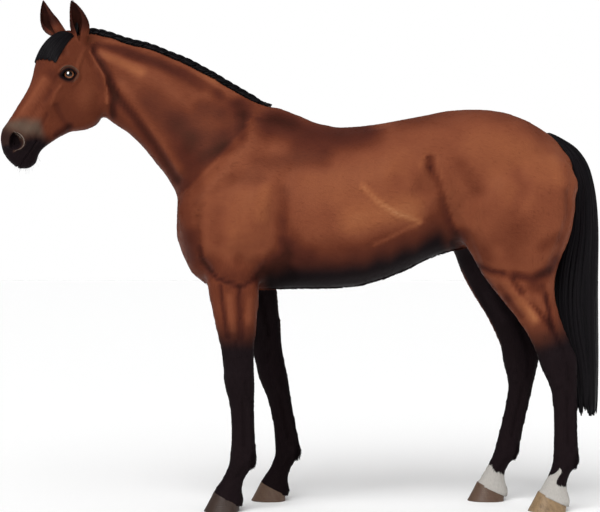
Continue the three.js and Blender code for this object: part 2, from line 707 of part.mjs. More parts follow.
// The forelock is combed flat over the brow, and cut straight across above the eyes.
function forelockSolid() {
  const buried = -28; // its inner side, which the head takes away
  const rings = [];
  for (const [along, half, thick] of [
    [-34, 16, -22], [-22, 22, 2], [0, 30, 9], [35, 42, 11], [75, 66, 11], [115, 78, 10], [150, 84, 9],
    [157, 82, 2],
  ]) {
    const s = sizesAt(HEAD_STATIONS, "along", Math.max(along, -14));
    const fall = along < -14 ? (along + 14) * 0.9 : 0;
    const place = (across, lift) => {
      const out = browOut(s, Math.abs(across) * half) + fall + lift;
      return headToHorse(along, out, across * half);
    };
    const ring = [];
    for (let k = 0; k <= 8; k++) {
      const across = THREE.MathUtils.lerp(-1, 1, k / 8);
      ring.push(place(across, thick * Math.sqrt(Math.max(1 - across ** 4, 0))));
    }
    for (let k = 6; k >= 0; k--) ring.push(place(THREE.MathUtils.lerp(-0.9, 0.9, k / 6), buried));
    rings.push(ring);
  }
  return solidOf(skinOver(rings));
}

// The tail hangs from the dock in one straight fall, cut level at the hocks.
function tailSolid() {
  const ribs = [
    rib([985, 1540], [985, 1480], 26, 26),
    rib([1030, 1527], [1020, 1440], 34, 34),
    rib([1082, 1507], [1040, 1405], 42, 42),
    rib([1134, 1466], [1060, 1375], 52, 52),
    rib([1178, 1400], [1080, 1335], 60, 60),
    rib([1202, 1325], [1090, 1285], 66, 66),
    rib([1217, 1240], [1092, 1215], 70, 70),
    rib([1224, 1130], [1082, 1120], 74, 74),
    rib([1225, 1000], [1052, 1000], 78, 78),
    rib([1224, 860], [1034, 860], 80, 80),
    rib([1224, 720], [1050, 720], 80, 80),
    rib([1224, 580], [1092, 580], 78, 78),
    rib([1222, 460], [1112, 460], 74, 74),
    rib([1221, 392], [1118, 380], 70, 70),
    rib([1219, 376], [1122, 372], 66, 66),
  ];
  return solidOf(bodyOver(ribs, 12, 1));
}

// ---------------------------------------------------------------- parting the animal

function buildFlesh() {
  const foreleg = forelegSkin();
  const hindleg = hindlegSkin();
  const skins = [
    trunkSolid(),
    neckSolid(),
    headSolid(),
    foreleg,
    rightLeg(foreleg, FORE_SWING),
    hindleg,
    rightLeg(hindleg, HIND_SWING),
  ];
  return skins.map(solidOf).reduce((whole, next) => whole.add(next));
}

const EARS = {
  left: { root: headToHorse(0, -42, -60), lean: 18, spread: 12, turn: 64 },
  right: { root: headToHorse(12, 27, 60), lean: 24, spread: -12, turn: 44 },
};

const LEGS = [
  { name: "left_fore", side: -1, top: FORELEG_TOP, hoof: HOOVES.fore, track: TRACK_FORE, swing: null },
  { name: "right_fore", side: 1, top: FORELEG_TOP, hoof: HOOVES.fore, track: TRACK_FORE, swing: FORE_SWING },
  { name: "left_hind", side: -1, top: HINDLEG_TOP, hoof: HOOVES.hind, track: TRACK_HIND, swing: null },
  { name: "right_hind", side: 1, top: HINDLEG_TOP, hoof: HOOVES.hind, track: TRACK_HIND, swing: HIND_SWING },
];

function buildPieces() {
  const pieces = {};
  let rest = buildFlesh();
  for (const side of [-1, 1]) {
    rest = rest
      .subtract(eyeSolid(side, EYE_RADIUS + CUT_GAP))
      .subtract(lidOpening(side))
      .subtract(nostrilSolid(side));
  }
  // The head comes off just behind the poll and the jaw, and the neck off the shoulders.
  const split = (solid, point, tilt) => {
    const below = solid.intersect(blockBelow(point, tilt));
    const [x, , z] = point;
    const raised = [x + CUT_GAP * Math.sin(tilt), 0, z + CUT_GAP * Math.cos(tilt)];
    return [below, solid.subtract(blockBelow(raised, tilt))];
  };
  const behindJaw = split(rest, [-806, 0, 1740], THREE.MathUtils.degToRad(-83));
  pieces.head = behindJaw[1];
  const shoulders = split(behindJaw[0], [-340, 0, 1468], THREE.MathUtils.degToRad(-41));
  pieces.neck = shoulders[1];
  rest = shoulders[0];
  for (const leg of LEGS) {
    // The space that the leg stands in, under its top and on its own side.
    const isFore = leg.top === FORELEG_TOP;
    const reach = isFore ? [-900, 560] : [600, 1400];
    const space = new THREE.BoxGeometry(reach[1] - reach[0], 600, leg.top);
    space.translate((reach[0] + reach[1]) / 2, leg.side * 300, leg.top / 2);
    const grown = new THREE.BoxGeometry(reach[1] - reach[0], 600, leg.top + CUT_GAP);
    grown.translate((reach[0] + reach[1]) / 2, leg.side * 300, (leg.top + CUT_GAP) / 2);
    pieces["leg_" + leg.name] = rest.intersect(solidOf(space));
    rest = rest.subtract(solidOf(grown));
  }
  pieces.trunk = rest;
  for (const leg of LEGS) {
    let skin = hoofSkin(leg.hoof, leg.track);
    if (leg.side > 0) skin = rightLeg(skin, leg.swing);
    pieces["hoof_" + leg.name] = solidOf(skin);
    const shift = leg.swing ? leg.swing[0].x : 0;
    const tilt = coronetTilt(leg.hoof);
    const above = [leg.hoof.topToe + shift, 0, CORONET.toe + CUT_GAP];
    const limb = "leg_" + leg.name;
    pieces[limb] = pieces[limb].subtract(blockBelow(above, tilt, 1000));
  }
  for (const [name, side] of [["left", -1], ["right", 1]]) {
    pieces["eye_" + name] = eyeSolid(side, EYE_RADIUS);
    const ear = earSolid(EARS[name]);
    pieces["ear_" + name] = clearOf(ear, pieces.head, [0, 0, 1]);
  }
  pieces.forelock = forelockSolid();
  pieces.mane = maneSolid();
  for (const hair of ["forelock", "mane"]) {
    for (const under of ["head", "neck", "trunk", "ear_left", "ear_right"]) {
      pieces[hair] = clearOf(pieces[hair], pieces[under], [0, 0, 1]);
    }
  }
  pieces.forelock = clearOf(pieces.forelock, pieces.mane, [-1, 0, 0]);
  pieces.tail = tailSolid();
  for (const under of ["trunk", "leg_left_hind", "leg_right_hind"]) {
    pieces.tail = clearOf(pieces.tail, pieces[under], [1, 0, 0]);
  }
  return pieces;
}

// ---------------------------------------------------------------- the horse

const COAT = { color: "#8a4a2c", roughness: 0.55, metalness: 0 };
const POINTS = { color: "#1b1614", roughness: 0.6, metalness: 0 };
const HAIR = { color: "#121113", roughness: 0.5, metalness: 0 };
const HORN = { color: "#5a4a40", roughness: 0.5, metalness: 0 };
const PALE_HORN = { color: "#a08768", roughness: 0.5, metalness: 0 };
const EYE = { color: "#20120c", roughness: 0.08, metalness: 0 };

const FINISHES = {
  trunk: COAT, neck: COAT, head: COAT, ear_left: COAT, ear_right: COAT,
  leg_left_fore: POINTS, leg_right_fore: POINTS, leg_left_hind: POINTS, leg_right_hind: POINTS,
  hoof_left_fore: HORN, hoof_right_fore: HORN, hoof_left_hind: PALE_HORN, hoof_right_hind: HORN,
  eye_left: EYE, eye_right: EYE,
  mane: HAIR, forelock: HAIR, tail: HAIR,
};

function largestBody(solid) {
  const bodies = solid.decompose();
  return bodies.reduce((a, b) => (b.volume() > a.volume() ? b : a));
}

const horse = new THREE.Group();
horse.name = "horse";
for (const [name, solid] of Object.entries(buildPieces())) {
  const mesh = new THREE.Mesh(
    geometryOf(largestBody(solid)),
    new THREE.MeshStandardMaterial(FINISHES[name]),
  );
  mesh.name = name;
  horse.add(mesh);
}

// The origin is on the ground, under the middle of the whole horse.
const whole = new THREE.Box3().setFromObject(horse, true);
const middle = whole.getCenter(new THREE.Vector3());
for (const mesh of horse.children) mesh.geometry.translate(-middle.x, -middle.y, -whole.min.z);

export default horse;
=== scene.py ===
# %% [markdown]
# # A standing bay horse
#
# This lesson dresses a plain, faceted model of a life-size horse. The faceted solids give
# every size. Here they become one smooth skin with a short brown coat, black points, two
# white pasterns, glossy eyes, horn hooves, a plaited mane, a trimmed forelock and a long
# tail. Lengths are in metres. The horse faces -X, and its left side faces -Y.

# %% Load the solids
import math
from contextlib import contextmanager
from functools import partial

import bmesh
import bpy
import numpy as np
from mathutils import Matrix, Vector
from mathutils.bvhtree import BVHTree


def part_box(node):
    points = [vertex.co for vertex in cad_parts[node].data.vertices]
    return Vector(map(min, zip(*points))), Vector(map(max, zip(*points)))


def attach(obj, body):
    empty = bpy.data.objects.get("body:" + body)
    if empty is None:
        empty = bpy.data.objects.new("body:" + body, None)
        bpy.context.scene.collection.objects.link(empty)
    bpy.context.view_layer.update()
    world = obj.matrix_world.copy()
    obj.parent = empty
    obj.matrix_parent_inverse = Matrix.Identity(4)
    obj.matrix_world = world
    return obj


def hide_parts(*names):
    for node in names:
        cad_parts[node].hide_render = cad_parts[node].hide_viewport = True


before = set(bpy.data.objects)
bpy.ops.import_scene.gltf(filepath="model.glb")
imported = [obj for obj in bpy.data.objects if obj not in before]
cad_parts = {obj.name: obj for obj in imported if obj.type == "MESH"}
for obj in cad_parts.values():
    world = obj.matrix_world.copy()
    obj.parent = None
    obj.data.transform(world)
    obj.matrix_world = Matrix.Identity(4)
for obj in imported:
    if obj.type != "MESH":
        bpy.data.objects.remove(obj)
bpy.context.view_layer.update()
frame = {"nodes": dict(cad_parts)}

CHANCE = np.random.default_rng(16)  # every random choice below comes from this fixed seed
MM = 0.001
print("nodes:", ", ".join(frame["nodes"]))

# %% [markdown]
# ## The camera
#
# A horse is best seen from its side, from the height of a person's chest and from some
# way off, so that its near and far legs keep their true sizes. A long lens does that.

# %% Camera
CAMERA_DISTANCE = 6.5
CAMERA_HEIGHT = 1.023
LEFT_OF_MIDDLE = 0.012  # the camera stands a little towards the head
LENS = 95.0  # millimetres: a long lens

camera_data = bpy.data.cameras.new("camera")
camera_data.sensor_width = 36.0
camera_data.lens = LENS
camera = bpy.data.objects.new("camera", camera_data)
camera.location = (-LEFT_OF_MIDDLE, -CAMERA_DISTANCE, CAMERA_HEIGHT)
camera.rotation_euler = (math.radians(90), 0, 0)
bpy.context.scene.collection.objects.link(camera)
bpy.context.scene.camera = camera
print("camera at", tuple(round(v, 3) for v in camera.location))

# %% [markdown]
# ## Small tools
#
# Three things come back all the time: a colour written as sRGB hex, which shaders want as
# linear light, a shader or geometry node with its settings, and a plain mesh object.

# %% Colours, nodes and meshes
def linear(hex_colour):
    """The linear light of an sRGB hex colour, as red, green, blue and alpha."""
    shares = [int(hex_colour[i : i + 2], 16) / 255 for i in (1, 3, 5)]
    light = [s / 12.92 if s <= 0.04045 else ((s + 0.055) / 1.055) ** 2.4 for s in shares]
    return (*light, 1.0)


def add_node(tree, kind, inputs=(), **settings):
    """Adds a node. Inputs go in order or by name; a node stands for its first output."""
    node = tree.nodes.new(kind)
    for name, value in settings.items():
        setattr(node, name, value)
    if not isinstance(inputs, dict):
        inputs = dict(zip((i for i, s in enumerate(node.inputs) if s.enabled), inputs))
    for name, value in inputs.items():
        if isinstance(value, bpy.types.Node):
            value = next(s for s in value.outputs if s.enabled)
        if isinstance(value, bpy.types.NodeSocket):
            tree.links.new(value, node.inputs[name])
        else:
            node.inputs[name].default_value = value
    return node


def material_of(name, paint, *hexes):
    """A material. Its paint is a function that adds nodes and gives the shader's inputs."""
    material = bpy.data.materials.new(name)
    material.use_nodes = True
    tree = material.node_tree
    tree.nodes.clear()
    shader = add_node(tree, "ShaderNodeBsdfPrincipled", paint(partial(add_node, tree), *hexes))
    add_node(tree, "ShaderNodeOutputMaterial", [shader])
    return material


def mesh_of(name, points, faces, edges=()):
    """A mesh of plain lists, with every face smooth."""
    mesh = bpy.data.meshes.new(name)
    mesh.from_pydata([tuple(p) for p in points], list(edges), [tuple(f) for f in faces])
    mesh.shade_smooth()
    return mesh


def mesh_from(build, name):
    """The mesh of a bmesh, which is then freed."""
    mesh = bpy.data.meshes.new(name)
    build.to_mesh(mesh)
    build.free()
    mesh.shade_smooth()
    return mesh


@contextmanager
def opened(mesh):
    """A bmesh to work in. Its changes go back into the mesh."""
    build = bmesh.new()
    build.from_mesh(mesh)
    yield build
    build.to_mesh(mesh)
    build.free()


def facing_out(mesh):
    """The same mesh with all its faces turned outwards."""
    with opened(mesh) as build:
        bmesh.ops.recalc_face_normals(build, faces=build.faces)
    return mesh


def triangles(mesh):
    return sum(len(p.vertices) - 2 for p in mesh.polygons)


def linked(thing):
    bpy.context.scene.collection.objects.link(thing)
    return thing


def piece_of(name, mesh, material):
    """An object at the origin that rides with the horse."""
    piece = linked(bpy.data.objects.new(name, mesh))
    mesh.materials.clear()
    mesh.materials.append(material)
    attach(piece, "root")
    return piece


def points_of(mesh, parts="vertices", field="co"):
    """X, Y and Z of every point."""
    flat = np.empty(len(mesh.vertices) * 3)
    getattr(mesh, parts).foreach_get(field, flat)
    return flat.reshape(-1, 3)


def normals_of(mesh):
    return points_of(mesh, "vertex_normals", "vector")


def put_points(mesh, points):
    mesh.vertices.foreach_set("co", np.ascontiguousarray(points).ravel())
    mesh.update()


def store(mesh, **marks):
    """Keeps a number or a direction on every point, under each name."""
    for name, values in marks.items():
        values = np.ascontiguousarray(values, dtype=np.float32).ravel()
        single = len(values) == len(mesh.vertices)
        layer = mesh.attributes.get(name) or mesh.attributes.new(
            name, "FLOAT" if single else "FLOAT_VECTOR", "POINT")
        layer.data.foreach_set("value" if single else "vector", values)


def unit(ways):
    """The same directions, one metre long."""
    return ways / np.linalg.norm(ways, axis=-1, keepdims=True)


def fade(low, high, value):
    """0 below low, 1 above high, and smooth between them. It also runs the other way."""
    share = np.clip((value - low) / (high - low), 0, 1)
    return share * share * (3 - 2 * share)


def follow(keys, values, at):
    """Reads a smooth curve, drawn through a few values at rising keys, at many places."""
    keys, values, at = (np.asarray(a, float) for a in (keys, values, at))
    slopes = np.gradient(values, keys, axis=0)
    at = np.clip(at, keys[0], keys[-1])
    i = np.clip(np.searchsorted(keys, at, "right") - 1, 0, len(keys) - 2)
    span = keys[i + 1] - keys[i]
    t = (at - keys[i]) / span
    if values.ndim > 1:
        t, span = t[..., None], span[..., None]
    start = (2 * t**3 - 3 * t**2 + 1) * values[i] + (t**3 - 2 * t**2 + t) * span * slopes[i]
    end = (3 * t**2 - 2 * t**3) * values[i + 1] + (t**3 - t**2) * span * slopes[i + 1]
    return start + end


def middle_of(node):
    low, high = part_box(node)
    return np.array((low + high) / 2)


print("a mid brown in linear light:", [round(c, 3) for c in linear("#8F5232")])

# %% [markdown]
# ## The head's own directions
#
# The head hangs at a slope and is turned to the horse's left, so its details are placed
# along the face, out from the face and across it. The two eyeballs show where it is.

# %% Head frame
HEAD_SLOPE = math.radians(62.6)
EYE_ALONG = 170 * MM  # from the poll down the face
EYE_OUT = -52 * MM  # below the line of the face

eye_left, eye_right = middle_of("eye_left"), middle_of("eye_right")
EYES = {"left": (-1, eye_left), "right": (1, eye_right)}  # the side of the head, and the middle
EYE_RADIUS = float(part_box("eye_left")[1].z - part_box("eye_left")[0].z) / 2
ACROSS = unit(eye_right - eye_left)
AHEAD = np.cross((0, 0, 1), ACROSS)
ALONG = AHEAD * math.cos(HEAD_SLOPE) - np.array((0, 0, 1)) * math.sin(HEAD_SLOPE)
OUT = AHEAD * math.sin(HEAD_SLOPE) + np.array((0, 0, 1)) * math.cos(HEAD_SLOPE)
POLL = (eye_left + eye_right) / 2 - ALONG * EYE_ALONG - OUT * EYE_OUT


def on_head(points):
    """Along the face, out from it and to the horse's right, from places in the scene."""
    return (np.asarray(points) - POLL) @ np.stack([ALONG, OUT, ACROSS], axis=1)


def from_head(places):
    """The other way round."""
    return POLL + np.asarray(places, float) @ np.stack([ALONG, OUT, ACROSS])


print("poll at", np.round(POLL, 3), "eye radius", round(EYE_RADIUS, 4))

# %% [markdown]
# ## One skin
#
# A horse has one unbroken skin over neck, trunk, head and legs. The solids are separate,
# with hairline gaps, so copies of them are grown by half a millimetre until they touch, and
# a voxel remesh melts them together into one closed surface with even faces. Subdivision
# surfaces could round the facets, but not close the gaps.

# %% Melt the solids together
FLESH = ["trunk", "neck", "head"]
LEGS = ["left_fore", "right_fore", "left_hind", "right_hind"]
SKIN_STEP = 13.8 * MM  # the size of a face on the trunk
GROW = 0.5 * MM
SHRINK_HOOF = -1.5 * MM  # the hooves' own walls are to cover what the melt makes of them


def merged_copy(node, grow):
    """A copy of a solid with its loose triangles joined, grown along its normals."""
    copy = bmesh.new()
    copy.from_mesh(frame["nodes"][node].data)
    bmesh.ops.remove_doubles(copy, verts=copy.verts, dist=1e-6)
    copy.normal_update()
    moves = [v.normal * grow for v in copy.verts]
    for vertex, move in zip(copy.verts, moves):
        vertex.co += move
    return mesh_from(copy, node)


def joined(meshes):
    together = bmesh.new()
    for mesh in meshes:
        together.from_mesh(mesh)
    return mesh_from(together, "joined")


def settled(mesh, kind, sockets=(), **settings):
    """The plain mesh that a modifier makes of another mesh."""
    holder = linked(bpy.data.objects.new("holder", mesh))
    modifier = holder.modifiers.new("change", kind)
    for name, value in settings.items():
        setattr(modifier, name, value)
    for identifier, value in sockets:
        modifier[identifier] = value
    depsgraph = bpy.context.evaluated_depsgraph_get()
    made = bpy.data.meshes.new_from_object(holder.evaluated_get(depsgraph))
    bpy.data.objects.remove(holder)
    return made


solids = [merged_copy(node, GROW) for node in FLESH + ["leg_" + leg for leg in LEGS]]
solids += [merged_copy("eye_" + side, GROW) for side in ("left", "right")]
solids += [merged_copy("hoof_" + leg, SHRINK_HOOF) for leg in LEGS]
flesh = joined(solids)
skin = settled(flesh, "REMESH", mode="VOXEL", voxel_size=SKIN_STEP)
print("skin after the melt:", len(skin.vertices), "points")

# %% [markdown]
# ## Finer faces where the form is finer
#
# A cannon bone is a tenth as thick as the trunk, so the head and the lower legs get
# smaller faces. Ironing then takes the facets out.

# %% Refine and relax
def refine(mesh, inside):
    """Cuts the faces in four whose points are all inside."""
    chosen = inside(points_of(mesh))
    with opened(mesh) as fine:
        edges = [e for e in fine.edges if all(chosen[v.index] for v in e.verts)]
        bmesh.ops.subdivide_edges(fine, edges=edges, cuts=1, use_grid_fill=True)


def relax(mesh, rounds, weight=None, shrink=0.5, grow=-0.53):
    """Irons facets out. Each round shrinks a little and grows again, so forms keep size."""
    points = points_of(mesh)
    ends = np.empty(len(mesh.edges) * 2, int)
    mesh.edges.foreach_get("vertices", ends)
    a, b = ends.reshape(-1, 2).T
    count = np.bincount(ends, minlength=len(points)).astype(float)
    count[count == 0] = 1
    weight = np.ones(len(points)) if weight is None else weight
    for _ in range(rounds):
        for step in (shrink, grow):
            pull = np.empty_like(points)
            for k in range(3):
                total = np.bincount(a, points[b, k], len(points))
                total += np.bincount(b, points[a, k], len(points))
                pull[:, k] = total / count - points[:, k]
            points += pull * (step * weight)[:, None]
    put_points(mesh, points)


FINE_LEG_TOP = 0.60
FINE_HEAD_BACK = -0.86
HEAD_BACK = -0.70  # no part of the head is behind this
ROUNDS, TRUNK_ROUNDS = 45, 60  # of ironing: all the skin, and then the trunk on its own
# the head's rear edge, in millimetres
JAW_OUT = [-600, -450, -330, -275, -245, -220, -175, -135, -95, -60, 0, 60]
JAW_ALONG = [900, 700, 400, 232, 190, 143, 98, 70, 43, 5, -30, -45]
JAW_TOP = 1.5  # only the jaw is higher than this


def before_jaw_line(points):
    """How far before the rear edge of the jaw points are, down the face."""
    along, out, _ = on_head(points).T
    return along - np.interp(out / MM, JAW_OUT, JAW_ALONG) * MM


def is_head(points):
    return (points[:, 0] < HEAD_BACK) & (before_jaw_line(points) > 0)


def is_fine(points):
    front = is_head(points) & (points[:, 0] < FINE_HEAD_BACK)
    edge = (np.abs(before_jaw_line(points)) < 30 * MM) & (points[:, 2] > JAW_TOP)
    edge &= points[:, 0] < HEAD_BACK
    return front | edge | (points[:, 2] < FINE_LEG_TOP)


refine(skin, is_fine)
print("skin with a finer head and legs:", len(skin.vertices), "points")
relax(skin, ROUNDS)

# %% [markdown]
# ## Muscles, bones and hollows
#
# A fit horse's coat is so short that every muscle shows. Each form is a stroke: a line in
# side view, how far it fades on the left and on the right of its direction, and how far it
# lifts the skin, in millimetres. A negative height is a groove. On the head and legs a last
# number is its tone, which is painted light and shade: painted shade darkens the hair in a
# hollow, and a painted highlight lightens the hair over a bone.
# Sculpting by hand can't be repeated, but strokes can, and both sides get the same ones.

# %% Strokes on the trunk and neck
BODY_STROKES = [
    # shoulder: its front edge, the ridge behind it and the edge of the upper arm
    ([(-228, 1545), (-310, 1446), (-390, 1358), (-458, 1300)], (22, 120), -7),
    ([(-175, 1500), (-262, 1400), (-345, 1310), (-415, 1235)], (70, 50), 6),
    ([(-325, 1304), (-368, 1261), (-408, 1197), (-410, 1140)], (36, 22), -3),
    ([(-205, 1240), (-235, 1120)], (95, 95), 8),
    ([(-64, 1335), (-95, 1243), (-109, 1188), (-95, 1105), (-72, 1040)], (95, 50), -8),
    ([(-400, 1000), (-334, 942), (-287, 922), (-243, 907), (-204, 938), (-160, 982), (-122, 1035)],
     (17, 34), -8),
    ([(-170, 1010)], (45, 45), 5),
    ([(-405, 1180), (-402, 1050), (-392, 950)], (36, 24), -4),
    ([(-470, 1190), (-470, 1100)], (50, 50), 4),
    # ribs and flank
    ([(-20, 1400), (180, 1360)], (120, 120), 3),
    ([(233, 1295), (294, 1235), (368, 1188), (462, 1157)], (34, 14), 4),
    ([(300, 1240), (400, 1160), (470, 1130)], (30, 60), -2),
    ([(390, 1330), (450, 1300)], (85, 85), -5),
    ([(502, 1416), (515, 1349), (525, 1289)], (30, 36), -9),
    ([(525, 1289), (569, 1195)], (30, 30), -5),
    ([(462, 1376), (472, 1410), (495, 1432), (526, 1423)], (15, 20), 4),
    ([(556, 1395), (573, 1283)], (40, 34), 6),
    # thigh and rump
    ([(548, 1235), (600, 1181), (645, 1115), (692, 1008)], (24, 44), -7),
    ([(623, 1383), (657, 1329), (690, 1282)], (55, 55), -4),
    ([(845, 1349), (872, 1289), (825, 1195)], (50, 60), -4),
    ([(930, 1360), (925, 1220)], (60, 70), 5),
    ([(760, 1330), (730, 1220)], (70, 70), 5),
    ([(1050, 1330), (1052, 1185), (982, 1000)], (24, 16), -4),
    ([(927, 1085)], (60, 60), -3),
    ([(690, 993), (744, 966), (798, 955)], (20, 16), -4),
    ([(854, 945), (905, 933), (962, 955), (1004, 1000)], (28, 28), -3.5),
    ([(818, 926)], (42, 42), 6),
    # neck
    ([(-840, 1885), (-720, 1865), (-600, 1825), (-480, 1775), (-335, 1690)], (20, 34), -3),
    ([(-825, 1850), (-750, 1815), (-660, 1770), (-570, 1730), (-470, 1645)], (40, 50), 6),
    ([(-795, 1725), (-700, 1605), (-600, 1475), (-510, 1330)], (30, 28), -8),
    ([(-730, 1715), (-650, 1605), (-570, 1480), (-505, 1380)], (40, 36), 6),
    ([(-410, 1425)], (80, 80), -3),
    ([(-840, 1850), (-790, 1760), (-770, 1690), (-780, 1610)], (20, 14), -5),
]


def gap_to_line(flat, line):
    """How far places in a plane are from a line, and whether they are on its left."""
    gap = np.full(len(flat), np.inf)
    left = np.zeros(len(flat), bool)
    corners = np.asarray(line, float)
    if len(corners) == 1:
        return np.linalg.norm(flat - corners[0], axis=1), left
    for a, b in zip(corners[:-1], corners[1:]):
        way = b - a
        share = np.clip((flat - a) @ way / (way @ way), 0, 1)
        off = flat - a - share[:, None] * way
        distance = np.linalg.norm(off, axis=1)
        nearer = distance < gap
        gap[nearer] = distance[nearer]
        left[nearer] = (way[0] * off[:, 1] - way[1] * off[:, 0])[nearer] > 0
    return gap, left


def stroke_share(flat, line, reaches):
    """1 on the line, and 0 at its reach to either side."""
    gap, left = gap_to_line(flat, line)
    share = np.clip(gap / np.where(left, reaches[0], reaches[1]), 0, 1)
    return (1 - share * share) ** 2


def read_strokes(strokes, flat, shown):
    """The lift and the painted light and shade that all the strokes give, where the skin shows its
    side.
    """
    lift, tone = np.zeros(len(flat)), np.zeros(len(flat))
    near = np.flatnonzero(shown > 0)
    for line, reaches, height, *shade in strokes:
        share = stroke_share(flat[near], line, reaches) * shown[near]
        lift[near] += height * MM * share
        tone[near] += sum(shade) * share
    return lift, tone


print(len(BODY_STROKES), "strokes on each side of the body")

# %% [markdown]
# The legs of a pair stand in different places, so their strokes are drawn across the leg:
# 0 is its front edge at that height and 1 its back edge.

# %% Strokes on the legs
FORELEG_STROKES = [  # share across the leg and height above the ground in millimetres
    ([(0.25, 905), (0.23, 700)], (13, 13), -4, -0.45),
    ([(0.62, 898), (0.62, 690)], (14, 14), -5.5, -0.55),
    ([(0.42, 860), (0.42, 730)], (26, 26), 4, 0.3),
    ([(0.82, 850), (0.8, 760)], (24, 24), 4, 0.25),
    ([(0.45, 680), (0.5, 590)], (11, 11), -3, -0.2),
    ([(0.2, 560), (0.18, 505)], (24, 24), 3.5, 0.1),
    ([(0.55, 600), (0.5, 575)], (20, 20), 2.5, 0.0),
    ([(0.55, 545), (0.55, 500)], (22, 22), 2.5, 0.0),
    ([(0.9, 548)], (22, 22), 3.5, 0.0),
    ([(0.72, 520), (0.74, 470)], (10, 10), -3, -0.2),
    ([(0.56, 440), (0.56, 262)], (8, 11), -4, -0.3),
    ([(0.78, 440), (0.8, 262)], (9, 9), 2.5, 0.1),
    ([(0.7, 212)], (26, 26), 4.5, 0.1),
    ([(0.3, 218)], (24, 24), 2.5, 0.0),
    ([(0.62, 178), (0.62, 130)], (12, 12), -3, -0.2),
]
HINDLEG_STROKES = [
    ([(0.36, 930), (0.45, 844), (0.55, 794), (0.62, 740)], (15, 20), -6, -0.45),
    ([(0.3, 870), (0.42, 765)], (36, 36), 6, 0.45),
    ([(0.62, 880), (0.66, 800)], (26, 26), 4, 0.2),
    ([(0.82, 870), (0.78, 769), (0.74, 700), (0.7, 655)], (13, 16), -7, -0.5),
    ([(0.14, 900), (0.16, 780)], (14, 18), -3, -0.25),
    ([(0.92, 632), (0.93, 600)], (26, 26), 4, 0.1),
    ([(0.3, 600), (0.34, 560)], (24, 24), 3, 0.05),
    ([(0.66, 640), (0.7, 575), (0.68, 520)], (16, 16), -4, -0.25),
    ([(0.2, 560), (0.3, 505)], (18, 18), 3.5, 0.1),
    ([(0.56, 480), (0.56, 268)], (8, 11), -4, -0.3),
    ([(0.8, 480), (0.8, 268)], (9, 9), 2.5, 0.1),
    ([(0.72, 214)], (26, 26), 4.5, 0.1),
    ([(0.3, 222)], (24, 24), 2.5, 0.0),
    ([(0.62, 178), (0.62, 130)], (12, 12), -3, -0.2),
]
LEG_STEP = 20  # millimetres between the levels where a leg's edges are read


def leg_edges(node):
    """Levels up a leg, with its front and back edges there, in millimetres."""
    points = points_of(frame["nodes"][node].data) / MM
    levels = np.arange(60, points[:, 2].max(), LEG_STEP)
    edges = []
    for level in levels:
        near = points[np.abs(points[:, 2] - level) < 1.6 * LEG_STEP, 0]
        edges.append((near.min(), near.max()) if len(near) else (np.nan, np.nan))
    edges = np.array(edges)
    known = ~np.isnan(edges[:, 0])
    return levels[known], edges[known]


def leg_strokes(leg):
    levels, edges = leg_edges("leg_" + leg)
    strokes = []
    for line, *rest in FORELEG_STROKES if "fore" in leg else HINDLEG_STROKES:
        placed = []
        for share, level in line:
            front, back = (np.interp(level, levels, edges[:, k]) for k in (0, 1))
            placed.append((front + share * (back - front), level))
        strokes.append((placed, *rest))
    return strokes


LEG_STROKES = {leg: leg_strokes(leg) for leg in LEGS}
print("strokes on a foreleg and a hind leg:", len(FORELEG_STROKES), len(HINDLEG_STROKES))

# %% [markdown]
# The head's strokes are drawn along the face and out from it.

# %% Strokes on the head
HEAD_STROKES = [
    ([(232, -40), (262, -37), (305, -45)], (10, 15), 5, 0.16),  # facial crest
    ([(262, -22), (310, -22)], (14, 9), -3, -0.14),
    ([(100, 6)], (26, 26), -7, -0.1),  # hollow over the eye
    ([(150, -74), (110, -66), (45, -64)], (14, 14), 4, 0.08),  # cheekbone's arch
    ([(60, -95), (108, -150), (150, -190)], (20, 30), -2, -0.1),
    ([(300, -70), (332, -120), (352, -168)], (24, 16), -5, -0.18),  # front of the cheek muscle
    ([(200, -150), (250, -170)], (60, 60), 4, 0.08),
    ([(235, 26), (330, 30), (430, 44)], (12, 12), 2, 0.12),  # edge of the nasal bone
    ([(345, -8), (440, 2)], (26, 26), -4, 0.0),
    ([(352, -55), (420, -60), (462, -66)], (16, 12), -3, -0.15),
    ([(420, -96), (470, -104)], (22, 22), 3, 0.0),
    ([(450, 34), (448, -22), (466, -44)], (9, 12), -2.0, -0.1),  # behind the nostril
    ([(196, -10), (232, -14)], (10, 10), -2, -0.1),
    ([(360, -160), (340, -110), (318, -60), (300, -20)], (5, 5), 1.6, 0.06),  # facial vein
    ([(46, -90), (78, -137), (106, -176), (152, -219), (198, -244)], (12, 9), 2.5, 0.1),  # jaw
]


def face_view(points):
    """Where points are in the head's side view, in millimetres."""
    along, out, _ = on_head(points).T
    return np.stack([along, out], axis=1) / MM


def stroke_effects(points, normals):
    """Lift and painted light and shade for every point of the skin, from the strokes of its own
    part.
    """
    head = fade(-8 * MM, 8 * MM, before_jaw_line(points)) * (points[:, 0] < HEAD_BACK)
    flat = points[:, [0, 2]] / MM
    side = np.sign(points[:, 1])
    shown = fade(0.05, 0.45, normals[:, 1] * side) * (1 - head)
    lift, tone = read_strokes(BODY_STROKES, flat, shown)
    for leg in LEGS:
        low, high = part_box("leg_" + leg)
        mine = (side < 0) == ("left" in leg)
        mine &= (points[:, 0] > low.x - 0.05) & (points[:, 0] < high.x + 0.05)
        mine &= points[:, 2] < high.z + 0.05
        shown_leg = fade(0.1, 0.6, np.abs(normals[:, 1])) * mine
        more, shade = read_strokes(LEG_STROKES[leg], flat, shown_leg)
        lift += more
        tone += shade
    outward = normals @ ACROSS * np.sign(on_head(points)[:, 2])
    more, shade = read_strokes(HEAD_STROKES, face_view(points), fade(0.1, 0.6, outward) * head)
    return lift + more, tone + shade


print(len(HEAD_STROKES), "strokes on each side of the head")

# %% [markdown]
# ## The skin takes its form
#
# The facets of the trunk are larger than its muscles, so it is ironed longest. Then the
# strokes lift the skin along its own normals.

